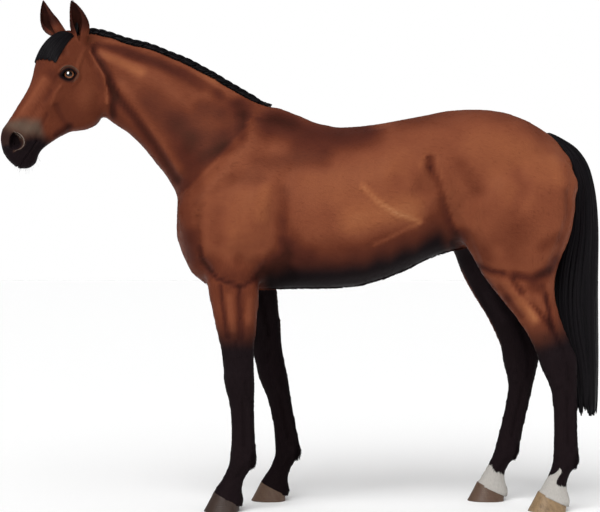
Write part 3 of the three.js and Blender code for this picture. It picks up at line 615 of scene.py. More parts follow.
# %% Carve
on_trunk = fade(FINE_LEG_TOP, 0.85, points_of(skin)[:, 2])
on_trunk *= fade(FINE_HEAD_BACK, -0.80, points_of(skin)[:, 0])
relax(skin, TRUNK_ROUNDS, weight=on_trunk, shrink=0.6, grow=-0.62)


def lift_skin(mesh, lift):
    put_points(mesh, points_of(mesh) + normals_of(mesh) * lift[:, None])


def is_face(points):
    """The muzzle and the surroundings of the eyes."""
    along, out, across = on_head(points).T
    eye = np.hypot(along - EYE_ALONG, out - EYE_OUT) < 62 * MM
    return is_head(points) & ((along > 0.425) | (eye & (np.abs(across) > 50 * MM)))


def fill_seat(mesh, depth):
    """The seat is as round beside the root of the tail as it is below it."""
    points = points_of(mesh)
    x, y, z = points.T
    seat = fade(0.94, 1.02, x) * fade(0.03, 0.06, np.abs(y))
    points[:, 0] += depth * seat * fade(1.25, 1.33, z) * fade(1.47, 1.40, z)
    put_points(mesh, points)


refine(skin, is_face)
lift_skin(skin, stroke_effects(points_of(skin), normals_of(skin))[0])
fill_seat(skin, 18 * MM)
relax(skin, 2)
leg_height = points_of(skin)[:, 2]
lift_skin(skin, 3.6 * MM * fade(0.82, 0.66, leg_height) * fade(0.19, 0.27, leg_height))
print("carved skin:", len(skin.vertices), "points")

# %% [markdown]
# The crest is a ridge of fat under the mane. Ironing has worn it down, so it is raised
# again to just below the plait, whose top is the top of the mane's solid.

# %% Raise the crest
CREST_UNDER = 19 * MM  # from the top of the mane down to the skin
CREST_WIDE = 46 * MM


def mane_top():
    """Places along the mane from the poll to the withers: x, y and z of its top."""
    points = points_of(frame["nodes"]["mane"].data)
    low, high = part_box("mane")
    places = np.linspace(low.x + 6 * MM, high.x - 6 * MM, 17)
    tops = []
    for x in places:
        near = points[np.abs(points[:, 0] - x) < 24 * MM]
        y = (near[:, 1].min() + near[:, 1].max()) / 2
        slope = np.polyfit(near[:, 0] - x, near[:, 2], 1)[0]
        tops.append((x, y, (near[:, 2] - slope * (near[:, 0] - x)).max()))
    return np.array(tops)


MANE_TOP = mane_top()


def raise_crest(mesh):
    points = points_of(mesh)
    y, top = (np.interp(points[:, 0], MANE_TOP[:, 0], MANE_TOP[:, k]) for k in (1, 2))
    ridge = np.zeros(len(MANE_TOP))
    for i, (x, y_top, z_top) in enumerate(MANE_TOP):
        near = (np.abs(points[:, 0] - x) < 14 * MM) & (np.abs(points[:, 1] - y_top) < 14 * MM)
        near &= points[:, 2] > z_top - 0.09
        ridge[i] = points[near, 2].max() if near.any() else z_top - 0.04
    lack = np.clip(MANE_TOP[:, 2] - CREST_UNDER - ridge, 0, 26 * MM)
    lift = np.interp(points[:, 0], MANE_TOP[:, 0], lack, left=0, right=0)
    share = np.clip(1 - (np.abs(points[:, 1] - y) / CREST_WIDE) ** 2, 0, 1) ** 1.5
    share *= fade(top - 0.13, top - 0.07, points[:, 2])
    share *= fade(-0.9, -0.875, points[:, 0]) * fade(-0.12, -0.20, points[:, 0])
    points[:, 2] += lift * share
    put_points(mesh, points)
    print("crest raised by", np.round(lack / MM).astype(int).tolist(), "mm")


raise_crest(skin)

# %% [markdown]
# ## Eyelids
#
# The melted skin covers each eyeball. Two lid curves make an almond on it, pointed at the
# tear duct in front. Skin inside the almond sinks behind the ball, and skin round it rests
# on the ball as a lid, with a fold above and below. A cut hole would leave a thin, open
# edge, while a sunk one keeps the skin closed and gives the lid its thickness.

# %% Lids
LID_FRONT, LID_REAR = 29 * MM, 25 * MM  # from the middle of the almond to its corners
LID_HIGH, LID_LOW = 18.5 * MM, 17 * MM
LID_THICK = 2.6 * MM
EYE_FORWARD = 0.22  # how far the eyes look ahead


def eye_axes(side):
    """Along the almond towards the tear duct, up across it, and out of the head."""
    look = unit(ACROSS * side + AHEAD * EYE_FORWARD)
    slant = ALONG * 0.62 + OUT * 0.785
    slant = unit(slant - look * (slant @ look))
    rise = np.cross(look, slant)
    return slant, rise * np.sign(rise @ OUT - rise @ ALONG), look


def eye_view(points, side, ball):
    """Along the almond, up across it and out of the head, from the middle of an eye."""
    return ((points - ball) @ axis for axis in eye_axes(side))


def almond(u, v):
    """How far inside the opening between the lids a place is."""
    share = np.clip(np.where(u > 0, u / LID_FRONT, -u / LID_REAR), 0, 1)
    upper = LID_HIGH * (1 - share**2.2)
    lower = LID_LOW * (1 - share**1.9)
    inside = np.minimum(upper - v, v + lower)
    ends = np.where(u > 0, LID_FRONT - u, LID_REAR + u)
    return np.minimum(inside, ends * 0.8)


def outside_lids(u, v):
    """How far outside the opening between the lids a place is, in metres."""
    t = np.linspace(-1, 1, 33)
    ends = np.where(t > 0, LID_FRONT, LID_REAR) * t
    share = np.abs(t)
    upper = np.stack([ends, LID_HIGH * (1 - share**2.2)], axis=1)
    lower = np.stack([ends, -LID_LOW * (1 - share**1.9)], axis=1)
    gap, _ = gap_to_line(np.stack([u, v], axis=1), np.concatenate([upper, lower[-2::-1]]))
    return np.where(almond(u, v) > 0, -gap, gap)


def near_eye(reach):
    """Chooses the skin within some reach of an eyeball, on its outer side."""
    def inside(points):
        chosen = np.zeros(len(points), bool)
        for side, ball in EYES.values():
            u, v, w = eye_view(points, side, ball)
            chosen |= (np.hypot(u, v) < reach) & (w > -5 * MM)
        return chosen
    return inside


def ridge(gap, at, wide):
    """A soft ridge at some distance: 1 on it, and fading to either side."""
    return np.exp(-(((gap - at) / wide) ** 2))


def shape_lids(mesh):
    points = points_of(mesh)
    for side, ball in EYES.values():
        u, v, w = eye_view(points, side, ball)
        near = np.flatnonzero((np.hypot(u, v) < 56 * MM) & (w > -5 * MM))
        u, v, w = u[near], v[near], w[near]
        over = outside_lids(u, v)
        radius = np.minimum(np.hypot(u, v), 0.97 * EYE_RADIUS)
        ball_top = np.sqrt(EYE_RADIUS**2 - radius**2)
        gap = np.clip(over, 0, None)
        lid = np.maximum(ball_top + LID_THICK, w) + 1.0 * MM * ridge(gap, 0, 4 * MM)
        above = fade(-4 * MM, 4 * MM, v)
        lid -= (1.5 + 1.3 * above) * MM * ridge(gap, (8 + 2 * above) * MM, 2.6 * MM)
        lid += (0.9 + 1.7 * above) * MM * ridge(gap, (14 + 3 * above) * MM, 4.5 * MM)
        lid -= 1.2 * MM * above * ridge(gap, 24 * MM, 3.5 * MM)
        sunk = np.minimum(ball_top, w) - 4 * MM
        share = fade(0.6 * MM, -1.8 * MM, over)
        blend = fade(56 * MM, 34 * MM, np.hypot(u, v))
        target = lid * (1 - share) + sunk * share
        points[near] += ((target - w) * blend)[:, None] * eye_axes(side)[2]
    put_points(mesh, points)


refine(skin, near_eye(46 * MM))
relax(skin, 3, weight=near_eye(44 * MM)(points_of(skin)))
refine(skin, near_eye(34 * MM))
shape_lids(skin)
print("skin with lids:", len(skin.vertices), "points")

# %% [markdown]
# ## Nostrils, lips and chin
#
# A nostril is a comma: wide towards the lips, narrow and hooked towards the eyes, with a
# raised wing behind it. The skin is pushed in along the nasal passage, so the nostril is a
# real pocket. The mouth is a thin groove between two full lips.

# %% Nostrils and mouth
NOSTRIL_AT = (506 * MM, 7 * MM)  # along the face and out from it
NOSTRIL_HALF, NOSTRIL_WIDE = 35 * MM, 24 * MM
NOSTRIL_LEAN = math.radians(-29)
NOSTRIL_DEEP = 34 * MM
MOUTH_LINE = [(462, -71), (480, -68), (507, -65), (545, -60), (572, -60), (592, -58)]


def nostril_place(points):
    """How far inside a nostril's opening each place is, and the share along the comma."""
    along, out, _ = on_head(points).T
    c, s = math.cos(NOSTRIL_LEAN), math.sin(NOSTRIL_LEAN)
    p = (along - NOSTRIL_AT[0]) * c + (out - NOSTRIL_AT[1]) * s
    q = (out - NOSTRIL_AT[1]) * c - (along - NOSTRIL_AT[0]) * s
    share = p / NOSTRIL_HALF
    middle = 5 * MM * (share**2 - 0.3)
    half = NOSTRIL_WIDE * np.sqrt(np.clip(1 - share**2, 0, 1)) * (1 + 0.15 * share)
    inside = half - np.abs(q - middle)
    beyond = NOSTRIL_HALF * (1 - np.abs(share))
    inside = np.where(beyond > 0, np.minimum(inside, beyond), beyond - np.abs(q - middle))
    return inside, q - middle


def near_nostril(points):
    inside, _ = nostril_place(points)
    return is_head(points) & (inside > -13 * MM) & (np.abs(on_head(points)[:, 2]) > 18 * MM)


def shape_muzzle(mesh):
    points, normals = points_of(mesh), normals_of(mesh)
    side = np.sign(on_head(points)[:, 2])
    chosen = near_nostril(points) & (normals @ ACROSS * side > 0.1)
    inside, across = nostril_place(points)
    rim = ridge(inside, -4 * MM, 4 * MM)
    wing = np.where(across < 0, 4.6, 3.0) * MM * rim
    wing -= 1.8 * MM * ridge(inside, -12 * MM, 4 * MM) * (across < 0)
    push = -(ACROSS * 0.86)[None] * side[:, None] - (ALONG * 0.5)[None]
    depth = NOSTRIL_DEEP * fade(-1.2 * MM, 11 * MM, inside)
    depth -= 9 * MM * ridge(across, 7 * MM, 3.5 * MM) * fade(0, 8 * MM, inside)  # the inner fold
    points[chosen] += (normals * wing[:, None] + push * depth[:, None])[chosen]
    front = is_head(points) & (on_head(points)[:, 0] > 0.44)
    gap, _ = gap_to_line(face_view(points), MOUTH_LINE)
    sides = fade(0.1, 0.5, np.abs(normals @ ACROSS)) + fade(0.3, 0.7, normals @ ALONG)
    slit = -4.5 * np.exp(-((gap / 2.6) ** 2)) + 2.2 * np.exp(-(((gap - 9) / 6) ** 2))
    points += (normals * (slit * MM * np.clip(sides, 0, 1) * front)[:, None])
    put_points(mesh, points)


refine(skin, near_nostril)
relax(skin, 2, weight=near_nostril(points_of(skin)))
shape_muzzle(skin)
print("skin with a muzzle:", len(skin.vertices), "points")

# %% [markdown]
# ## Where the skin ends on the hooves
#
# At the coronet the skin laps a few millimetres over the horn. The melt ran on over the
# hooves, so the skin is cut there, a little below the sloping line of the coronet.

# %% Cut at the coronets
LAP = 5 * MM
CORONET_DROP = 52 * MM  # from the coronet's height at the toe to that at the heel


def coronet(leg):
    """A place on the coronet's plane and the plane's upward normal, from the hoof's box."""
    low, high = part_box("hoof_" + leg)
    toe_x = low.x + 40 * MM
    slope = CORONET_DROP / (high.x - toe_x)
    normal = Vector((slope, 0, 1)).normalized()
    return Vector((toe_x, (low.y + high.y) / 2, high.z)), normal


def cut_skin(cut):
    """Takes the skin off below each coronet and closes it there."""
    for leg in LEGS:
        place, normal = coronet(leg)
        low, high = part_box("hoof_" + leg)
        near = [
            v for v in cut.verts
            if v.co.z < 0.13 and low.x - 0.05 < v.co.x < high.x + 0.05
            and low.y - 0.03 < v.co.y < high.y + 0.03
        ]
        faces = {f for v in near for f in v.link_faces}
        edges = {e for f in faces for e in f.edges}
        made = bmesh.ops.bisect_plane(
            cut, geom=[*near, *edges, *faces], plane_co=place - normal * LAP,
            plane_no=normal, clear_inner=True,
        )
        border = [e for e in made["geom_cut"] if isinstance(e, bmesh.types.BMEdge)]
        bmesh.ops.holes_fill(cut, edges=border)
    bmesh.ops.dissolve_degenerate(cut, edges=cut.edges, dist=1e-6)


with opened(skin) as skin_build:
    cut_skin(skin_build)
    print("open edges after the cut:", sum(e.is_boundary for e in skin_build.edges))

# %% [markdown]
# ## The coat's depth
#
# The solids reach to the tips of the hair, so the skin is drawn in by the coat's depth:
# least on the face and feet. At the coronets it swells a little instead, over the horn.

# %% Draw the skin in
COAT_DEEP = 2.0 * MM
COAT_SHORT = 0.8 * MM


def coronet_height(points):
    """Height over the nearest hoof's coronet."""
    height = np.full(len(points), 9.0)
    for leg in LEGS:
        place, normal = coronet(leg)
        low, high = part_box("hoof_" + leg)
        mine = (points[:, 0] > low.x - 0.05) & (points[:, 0] < high.x + 0.08)
        mine &= (points[:, 1] > low.y - 0.03) & (points[:, 1] < high.y + 0.03)
        mine &= points[:, 2] < 0.6
        height[mine] = ((points - np.array(place)) @ np.array(normal))[mine]
    return height


def draw_in(mesh):
    points, normals = points_of(mesh), normals_of(mesh)
    depth = COAT_SHORT + (COAT_DEEP - COAT_SHORT) * fade(0.35, 0.8, points[:, 2])
    depth[is_head(points)] = COAT_SHORT
    swell = 1.8 * MM * fade(14 * MM, 2 * MM, coronet_height(points))
    lift_skin(mesh, np.where(np.abs(normals[:, 2]) < 0.9, swell, 0) - depth)


draw_in(skin)
print("skin drawn in by", COAT_DEEP / MM, "mm on the body")

# %% [markdown]
# ## Ears
#
# A horse's ear is a stiff leaf rolled round its length: a closed tube at the root, open
# in front above it, with a curled rim and a pointed tip. Each is lofted as a shell with an
# outer and an inner side, then joined to the skin, and the corner at its root is ironed.

# %% Ear shells
EAR_LENGTH = 0.162
EAR_WALL = 4.5 * MM
EAR_LEVELS = [-0.3, 0.0, 0.18, 0.38, 0.58, 0.76, 0.9, 1.0]
EAR_SIZES = {  # half width, half depth and how far it curves forwards, at each level
    "wide": np.array([14, 22, 32, 38, 35, 27, 16, 3]) * MM,
    "deep": np.array([15, 26, 27, 25, 20, 14, 8, 3]) * MM,
    "curve": np.array([0, 0, -1, -1, 2, 6, 11, 15]) * MM,
}
EAR_OPENING = np.radians([1, 2, 9, 29, 40, 45, 42, 28])  # half the opening, at each level
EARS = {  # root on the head; lean forwards, spread and turn in degrees; bow back; wider below
    "left": dict(root=(12 * MM, -40 * MM, -54 * MM), lean=11, spread=9, turn=78,
                 bow=7 * MM, flare=0.4),
    "right": dict(root=(6 * MM, 22 * MM, 60 * MM), lean=25, spread=-12, turn=62,
                  bow=-22 * MM, flare=0.5),
}


def ear_sizes(level):
    return (follow(EAR_LEVELS, sizes, level) for sizes in EAR_SIZES.values())


def ear_turns(lean, spread, turn):
    """How an ear is tilted on the head, and turned round its own length."""
    lean, spread, turn = (math.radians(a) for a in (lean, spread, turn))
    tilt = Matrix.Rotation(-lean, 3, "Y") @ Matrix.Rotation(spread, 3, "X")
    return np.array(tilt), np.array(Matrix.Rotation(turn, 3, "Z"))


def ear_ring(level, inset, columns, flare):
    """One level of the leaf, from one rim round the back to the other."""
    wide, deep, curve = ear_sizes(level)
    size = 1 + flare * (0.52 - level)
    half = math.pi - follow(EAR_LEVELS, EAR_OPENING, level)
    angles = np.linspace(-half, half, columns)
    curl = 1 - 0.16 * fade(0.72, 1.0, np.abs(angles) / math.pi) * fade(0.1, 0.4, level)
    x = -curve + max(deep * size - inset, 0.6 * MM) * np.cos(angles) * curl
    y = max(wide * size - inset, 0.6 * MM) * np.sin(angles) * curl
    return np.stack([x, y, np.full(columns, level * EAR_LENGTH)], axis=1)


def ear_shell(root, lean, spread, turn, bow, flare):
    """A closed shell: the outer side, the inner side, and bands that join their borders."""
    rows, columns = 36, 40
    levels = np.linspace(-0.26, 1.0, rows)
    inner_levels = np.linspace(0.02, 0.985, rows)
    outer = [ear_ring(v, 0.0, columns, flare) for v in levels]
    inner = [ear_ring(v, EAR_WALL * (1 - 0.55 * v), columns, flare) for v in inner_levels]
    points = np.concatenate(outer + inner)
    index = np.arange(rows * columns).reshape(rows, columns)
    faces = []
    for r in range(rows - 1):
        for c in range(columns - 1):
            a, b, d, e = index[r, c], index[r, c + 1], index[r + 1, c], index[r + 1, c + 1]
            faces += [(a, b, e, d), tuple(rows * columns + k for k in (d, e, b, a))]
    border = [*index[:, -1], *index[-1, -2::-1], *index[-2::-1, 0], *index[0, 1:-1]]
    for a, b in zip(border, border[1:] + border[:1]):
        faces.append((b, a, rows * columns + a, rows * columns + b))
    tilt, turned = ear_turns(lean, spread, turn)
    placed = points @ turned.T
    level = np.clip(points[:, 2] / EAR_LENGTH, 0, 1)
    placed[:, 0] += 4 * bow * level * (1 - level)
    mesh = mesh_of("ear", placed @ tilt.T + from_head(root), faces)
    with opened(mesh) as shell:
        bmesh.ops.remove_doubles(shell, verts=shell.verts, dist=0.15 * MM)
    return facing_out(mesh)


def surface_of(mesh):
    """A mesh made ready to find its nearest place, or where a ray meets it."""
    shape = bmesh.new()
    shape.from_mesh(mesh)
    tree = BVHTree.FromBMesh(shape)
    shape.free()
    return tree


SKULL_SURFACE = surface_of(skin)  # kept for the forelock, which passes between the ears


for side, ear in EARS.items():
    ear_object = linked(bpy.data.objects.new("ear", ear_shell(**ear)))
    before = len(skin.vertices)
    skin = settled(skin, "BOOLEAN", operation="UNION", solver="MANIFOLD", object=ear_object)
    bpy.data.objects.remove(ear_object)
    print(side, "ear adds", len(skin.vertices) - before, "points")


# %% Iron the roots of the ears
def ear_root_gap(points):
    """How far points are from the rings where the ears come out of the head."""
    gap = np.full(len(points), np.inf)
    for ear in EARS.values():
        gap = np.minimum(gap, np.linalg.norm(points - from_head(ear["root"]), axis=1))
    return gap


near_root = fade(62 * MM, 44 * MM, ear_root_gap(points_of(skin)))
relax(skin, 10, weight=near_root, grow=-0.2)
print("skin with ears:", len(skin.vertices), "points")

# %% [markdown]
# ## Markings
#
# A bay horse has a brown body with black points: lower legs, muzzle, mane, tail and the
# rims of its ears. This one is darker along the back, partly its own coat and partly painted
# shade, and has two white hind pasterns. Its belly, the underside of its chest, the inner
# sides of its legs, a band down the front of each thigh, the insides of its nostrils and the
# hollows of its ears are painted black as shade. Pale bands over the lids and the rims of the
# nostrils are painted highlights, and the tone carries painted light and shade over the
# muscles. Each marking is a number kept on every point of the skin, worked out from where the
# point is, so that the hair that grows there can take the same number.

# %% Black points, grey muzzle, white pasterns, painted light and shade
def underline_of(mesh):
    """Places along the horse and the height of the belly there."""
    points = points_of(mesh)
    places = np.arange(-0.5, 1.0, 0.05)
    low = [points[np.abs(points[:, 0] - x) < 0.04, 2].min() for x in places]
    return places, np.array(low)


BELLY = underline_of(frame["nodes"]["trunk"].data)
SOCK_EDGE = {  # height of the white at a share across the pastern, in millimetres
    "left_hind": ([-0.1, 0.15, 0.36, 0.52, 0.75, 1.1], [132, 148, 172, 118, 104, 96]),
    "right_hind": ([-0.1, 0.15, 0.36, 0.52, 0.75, 1.1], [146, 150, 132, 124, 120, 94]),
}


def leg_share(leg, points):
    """How far across a leg each point is: 0 at its front edge and 1 at its back edge."""
    levels, edges = leg_edges("leg_" + leg)
    front, back = (np.interp(points[:, 2] / MM, levels, edges[:, k]) * MM for k in (0, 1))
    return (points[:, 0] - front) / (back - front)


def on_leg(leg, points, below):
    low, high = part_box("leg_" + leg)
    mine = (points[:, 0] > low.x - 0.04) & (points[:, 0] < high.x + 0.04)
    mine &= (points[:, 1] < 0) if "left" in leg else (points[:, 1] > 0)
    return mine & (points[:, 2] < below)


# painted shade runs down here in black, along the front edge of the thigh from the flank to the
# stifle
PAINTED_SHADE_DOWN_THIGH = [(600, 1075), (640, 1010), (698, 935), (745, 860), (778, 790)]


def black_points(points, normals):
    x, y, z = points.T
    side = np.sign(y)
    # the sides of the legs that face the other legs, which painted shade makes black
    inner = fade(0.05, -0.45, normals[:, 1] * side)
    low = np.interp(x, *BELLY)
    # painted shade: black along the underside of the belly
    black = fade(low + 0.14, low + 0.05, z) * fade(-0.19, -0.1, x + 0.6 * (1.02 - z))
    before_thigh = fade(0.62, 0.52, x - 0.45 * (1.12 - z))
    black *= np.maximum(before_thigh, fade(0.25, -0.2, normals[:, 1] * side))
    # painted shade: black under the chest, where it faces down
    painted_chest_shade = fade(0.93, 0.86, z) * fade(-0.2, -0.6, normals[:, 2])
    black = np.maximum(black, painted_chest_shade * 0.8)
    for leg in LEGS:
        fore = "fore" in leg
        mine = on_leg(leg, points, 0.98 if fore else 1.16)
        share = leg_share(leg, points)
        clear = np.maximum.reduce([inner, fade(0.9, 0.98, z), fade(1.0, 1.2, share) * fore])
        share = np.clip(share, 0, 1)
        top = 0.685 if fore else 0.665 + 0.05 * share
        points_black = fade(top + 0.1, top - 0.045, z)
        # painted shade: the inner sides are black up to near the belly
        inner_top = 0.93 if fore else 1.08
        inside = inner * fade(inner_top + 0.06, inner_top - 0.08, z)
        black = np.where(mine, np.maximum.reduce([black * clear, points_black, inside]), black)
    # painted shade: a black band down the front edge of the thigh
    painted_thigh_shade = stroke_share(points[:, [0, 2]] / MM, PAINTED_SHADE_DOWN_THIGH, (30, 34)) * (np.abs(y) > 0.02)
    black = np.maximum(black, 0.9 * painted_thigh_shade)
    black[is_head(points)] = 0
    return np.clip(black, 0, 1)


GREY_FROM = [445, 427, 384, 405, 440]  # down the face, where the grey of the muzzle begins
GREY_OUT = [-100, -84, -40, 15, 62]


def head_marks(points):
    """Black and grey on the head: muzzle, lids and ears, with painted shade in the nostrils and the
    hollows of the ears, and painted highlights on the nostrils' rims and the lids.
    """
    along, out, _ = on_head(points).T / MM
    inside, ahead = nostril_place(points)
    grey = fade(-24, 30, along - np.interp(out, GREY_OUT, GREY_FROM))
    black = fade(448, 525, along - 0.9 * out) * fade(395, 465, along)
    black = np.maximum(black, 0.8 * fade(440, 500, along))
    # painted highlight: a pale rim round each nostril; painted shade: black inside the nostril's
    # pocket
    rim = ridge(inside, -5.5 * MM, 4.5 * MM) * fade(10 * MM, -6 * MM, ahead) * (along > 440)
    grey = np.maximum(grey, 1.6 * rim)
    black *= 1 - 0.9 * rim
    black = np.maximum(black, fade(-1 * MM, 4 * MM, inside) * (along > 440))
    for side, ball in EYES.values():
        u, v, w = eye_view(points, side, ball)
        near = np.flatnonzero((np.hypot(u, v) < 60 * MM) & (w > -5 * MM))
        over = outside_lids(u[near], v[near])
        nose = (points[near] - ball) @ ALONG
        lid = fade(14 * MM, 4 * MM, over / (1 + 0.5 * fade(0, 26 * MM, nose)))
        black[near] = np.maximum(black[near], lid)
        # painted highlights: a pale band over the upper lid and a fainter one under the lower lid
        above = fade(-4 * MM, 4 * MM, v[near])
        upper = ridge(over, 14 * MM, 4 * MM) * fade(14 * MM, -2 * MM, nose)
        lower = ridge(over, 15 * MM, 3 * MM) * fade(30 * MM, 14 * MM, np.abs(nose))
        grey[near] = np.maximum(grey[near], 0.9 * above * upper + 0.6 * (1 - above) * lower)
    # black tips on the ears, the ears darker from near the root, and painted shade that blackens
    # the hollow of each ear
    up, hollow = ear_place(points)
    black = np.maximum.reduce([black, 0.85 * hollow * fade(1.0, 0.8, up),
                               0.75 * fade(0.82, 1.0, up), 0.36 * fade(0.12, 0.45, up)])
    on = is_head(points) | (up > 0)
    return black * on, grey * (1 - 0.6 * black) * on, up


def ear_place(points):
    """How far up an ear each point is, 0 off the ears, and 1 in the hollow of the ear."""
    up, hollow = np.zeros(len(points)), np.zeros(len(points))
    for ear in EARS.values():
        tilt, turned = ear_turns(ear["lean"], ear["spread"], ear["turn"])
        off = (points - from_head(ear["root"])) @ tilt
        near = np.hypot(off[:, 0], off[:, 1]) < 66 * MM
        near = np.flatnonzero(near & (off[:, 2] > 0.12 * EAR_LENGTH))
        level = np.clip(off[near, 2] / EAR_LENGTH, 0, 1)
        off = off[near]
        off[:, 0] -= 4 * ear["bow"] * level * (1 - level)
        x, y, _ = (off @ turned).T
        size = 1 + ear["flare"] * (0.52 - level)
        wide, deep, curve = ear_sizes(level)
        reach = np.hypot((x + curve) / (deep * size), y / (wide * size))
        up[near] = level
        hollow[near] = fade(0.97, 0.7, reach)
    return up, hollow


def sock_depth(points):
    """How far below the upper edge of the white each point is; negative above it."""
    depth = np.full(len(points), -1.0)
    for leg, (shares, heights) in SOCK_EDGE.items():
        mine = on_leg(leg, points, 0.3)
        edge = follow(shares, np.array(heights) * MM, leg_share(leg, points))
        depth[mine] = (edge - points[:, 2])[mine]
    return depth


# painted light and shade on the body: each is a line in side view, its reaches and a tone. Painted
# highlights lie where light falls on the muscles, and painted shade lies in the grooves, under the
# crest, behind the jaw, at the base of the neck, behind the shoulder and down the thigh.
PAINTED_LIGHT_AND_SHADE_ON_BODY = [
    # back, loin and croup: darker along the back, partly the coat's own darker back and partly
    # painted shade
    ([(-110, 1565), (8, 1530), (134, 1512), (240, 1525)], (85, 120), -0.7),
    ([(330, 1535), (520, 1580)], (80, 100), -0.12),
    ([(400, 1570), (640, 1610), (860, 1580), (980, 1520)], (60, 70), -0.2),
    ([(-248, 1640), (-150, 1615), (-51, 1580)], (60, 70), -0.3),
    # neck, from the crest down to the throat
    ([(-840, 1885), (-720, 1865), (-600, 1825), (-480, 1775), (-335, 1690)], (18, 46), -0.42),
    ([(-800, 1900), (-700, 1890), (-570, 1850), (-460, 1795), (-350, 1730)], (14, 16), 0.18),
    ([(-825, 1850), (-750, 1815), (-660, 1770)], (36, 34), 0.5),
    ([(-660, 1770), (-570, 1730), (-520, 1690)], (60, 60), 0.12),
    ([(-710, 1845), (-570, 1795), (-420, 1705)], (24, 36), -0.2),
    ([(-400, 1630), (-330, 1620), (-250, 1630)], (60, 70), -0.45),
    ([(-500, 1560), (-400, 1540), (-330, 1560)], (80, 80), -0.32),
    ([(-255, 1600), (-250, 1510)], (36, 36), -0.3),
    ([(-350, 1680), (-270, 1650)], (40, 40), -0.22),
    ([(-178, 1570), (-170, 1500)], (75, 75), -0.2),
    ([(-430, 1480), (-335, 1480)], (75, 75), -0.42),
    ([(-400, 1420), (-330, 1440), (-256, 1480)], (46, 46), -0.3),
    ([(-465, 1480), (-450, 1410)], (80, 80), -0.2),
    ([(-730, 1715), (-650, 1605), (-570, 1480), (-505, 1380)], (30, 34), 0.2),
    ([(-620, 1640), (-540, 1560), (-490, 1450)], (110, 110), -0.3),
    ([(-795, 1725), (-700, 1605), (-600, 1475), (-510, 1330)], (26, 30), -0.6),
    ([(-850, 1850), (-820, 1800), (-792, 1755), (-772, 1690), (-778, 1600)], (32, 14), -0.75),
    ([(-780, 1605), (-640, 1465), (-550, 1330)], (46, 46), -0.2),
    # shoulder, upper arm and breast
    ([(-238, 1554), (-347, 1431), (-465, 1307)], (20, 80), -0.42),
    ([(-232, 1600), (-232, 1500)], (30, 30), -0.22),
    ([(-230, 1260), (-268, 1165)], (120, 120), 0.18),
    ([(-180, 1400), (-100, 1400)], (60, 60), -0.25),
    ([(-270, 1330), (-190, 1330)], (60, 60), -0.25),
    ([(-99, 1170), (-30, 1090)], (50, 50), -0.2),
    ([(-20, 1420), (70, 1410)], (80, 80), -0.45),
    ([(-335, 1190), (-330, 1100)], (60, 60), -0.2),
    ([(-160, 930), (-105, 1000), (-60, 940)], (60, 66), -0.75),
    ([(-288, 1115), (-300, 1060)], (40, 40), 0.1),
    ([(-410, 1184), (-416, 1066)], (30, 26), -0.12),
    ([(-440, 1100), (-430, 1020), (-390, 960)], (60, 60), -0.4),
    ([(-412, 1060), (-395, 995), (-342, 936), (-288, 914), (-240, 902), (-198, 930),
      (-160, 975)], (12, 14), -0.55),
    ([(-75, 1280), (-72, 1200), (-85, 1110)], (34, 50), -0.3),
    ([(-75, 1075), (-60, 1030)], (40, 40), -0.35),
    ([(-150, 1290), (-165, 1180)], (45, 45), 0.2),
    ([(-414, 1330), (-414, 1230)], (36, 36), -0.2),
    ([(-256, 1010)], (40, 40), -0.3),
    ([(-360, 1000), (-300, 955), (-230, 950), (-180, 990)], (60, 60), -0.35),
    # barrel and flank
    ([(-80, 1070), (-40, 1035), (20, 1030)], (60, 60), -0.25),
    ([(60, 1320), (180, 1290), (340, 1340)], (120, 120), 0.16),
    ([(200, 1150), (300, 1190), (420, 1200)], (100, 100), 0.42),
    ([(233, 1295), (294, 1235), (368, 1188), (462, 1157)], (20, 14), 0.5),
    ([(462, 1152), (408, 1130), (341, 1094), (280, 1067)], (14, 14), 0.3),
    ([(340, 1400), (400, 1430)], (60, 60), 0.1),
    ([(450, 1340), (480, 1290)], (50, 50), -0.12),
    ([(368, 1316)], (50, 50), -0.15),
    ([(500, 1412), (505, 1375)], (26, 26), -0.5),
    ([(462, 1376), (472, 1410), (495, 1432), (526, 1423), (540, 1369), (548, 1290)],
     (10, 10), 0.14),
    ([(505, 1370), (540, 1320), (563, 1228), (590, 1160), (636, 1074), (704, 966), (771, 886)],
     (12, 40), -0.42),
    ([(620, 1100), (590, 1040)], (60, 60), -0.4),
    # haunch
    ([(623, 1383), (657, 1329), (690, 1282)], (46, 46), -0.2),
    ([(700, 1450), (860, 1430), (940, 1370)], (110, 110), 0.24),
    ([(780, 1330), (860, 1240)], (90, 90), 0.14),
    ([(845, 1349), (872, 1289), (825, 1195)], (40, 40), -0.16),
    ([(838, 1120), (800, 1060)], (110, 110), -0.22),
    ([(769, 1040)], (50, 50), 0.16),
    ([(1046, 1270), (1056, 1200), (1036, 1100), (995, 980)], (16, 36), -0.2),
    ([(1000, 1410), (1010, 1320)], (40, 40), 0.2),
    ([(690, 993), (744, 966), (798, 955)], (12, 14), -0.4),
    ([(690, 985), (753, 958), (824, 946), (895, 938), (973, 962)], (30, 24), -0.35),
    ([(720, 800), (800, 830)], (50, 50), -0.2),
    ([(860, 880), (820, 860)], (30, 30), -0.3),
    ([(838, 950), (905, 930), (986, 966)], (26, 30), -0.3),
    ([(808, 915), (832, 875)], (34, 34), 0.16),
    ([(640, 1100), (720, 1020)], (60, 60), -0.25),
    ([(1005, 1100), (945, 1060)], (40, 40), -0.3),
    ([(1010, 1000), (960, 950), (920, 900)], (50, 46), -0.45),
    ([(885, 860), (925, 775)], (26, 26), 0.45),
    ([(954, 900), (980, 800), (990, 720)], (18, 18), -0.3),
]
# painted light and shade on the face: a lit strip down the nose and a lit cheek, painted shade on
# the brow and low on the jaw in front, and a thin painted highlight along the jaw's rear edge
PAINTED_LIGHT_AND_SHADE_ON_FACE = [  # down the face and out from it
    ([(235, 18), (303, 21), (382, 24)], (36, 32), 0.26),
    ([(330, -20), (400, -20)], (40, 40), 0.1),
    ([(205, 8)], (34, 34), -0.14),
    ([(120, -110), (210, -165)], (75, 75), 0.14),
    ([(400, -130), (345, -160)], (24, 24), -0.5),
    ([(40, -86), (74, -137), (102, -177), (149, -220), (195, -243)], (6, 6), 0.35),
]


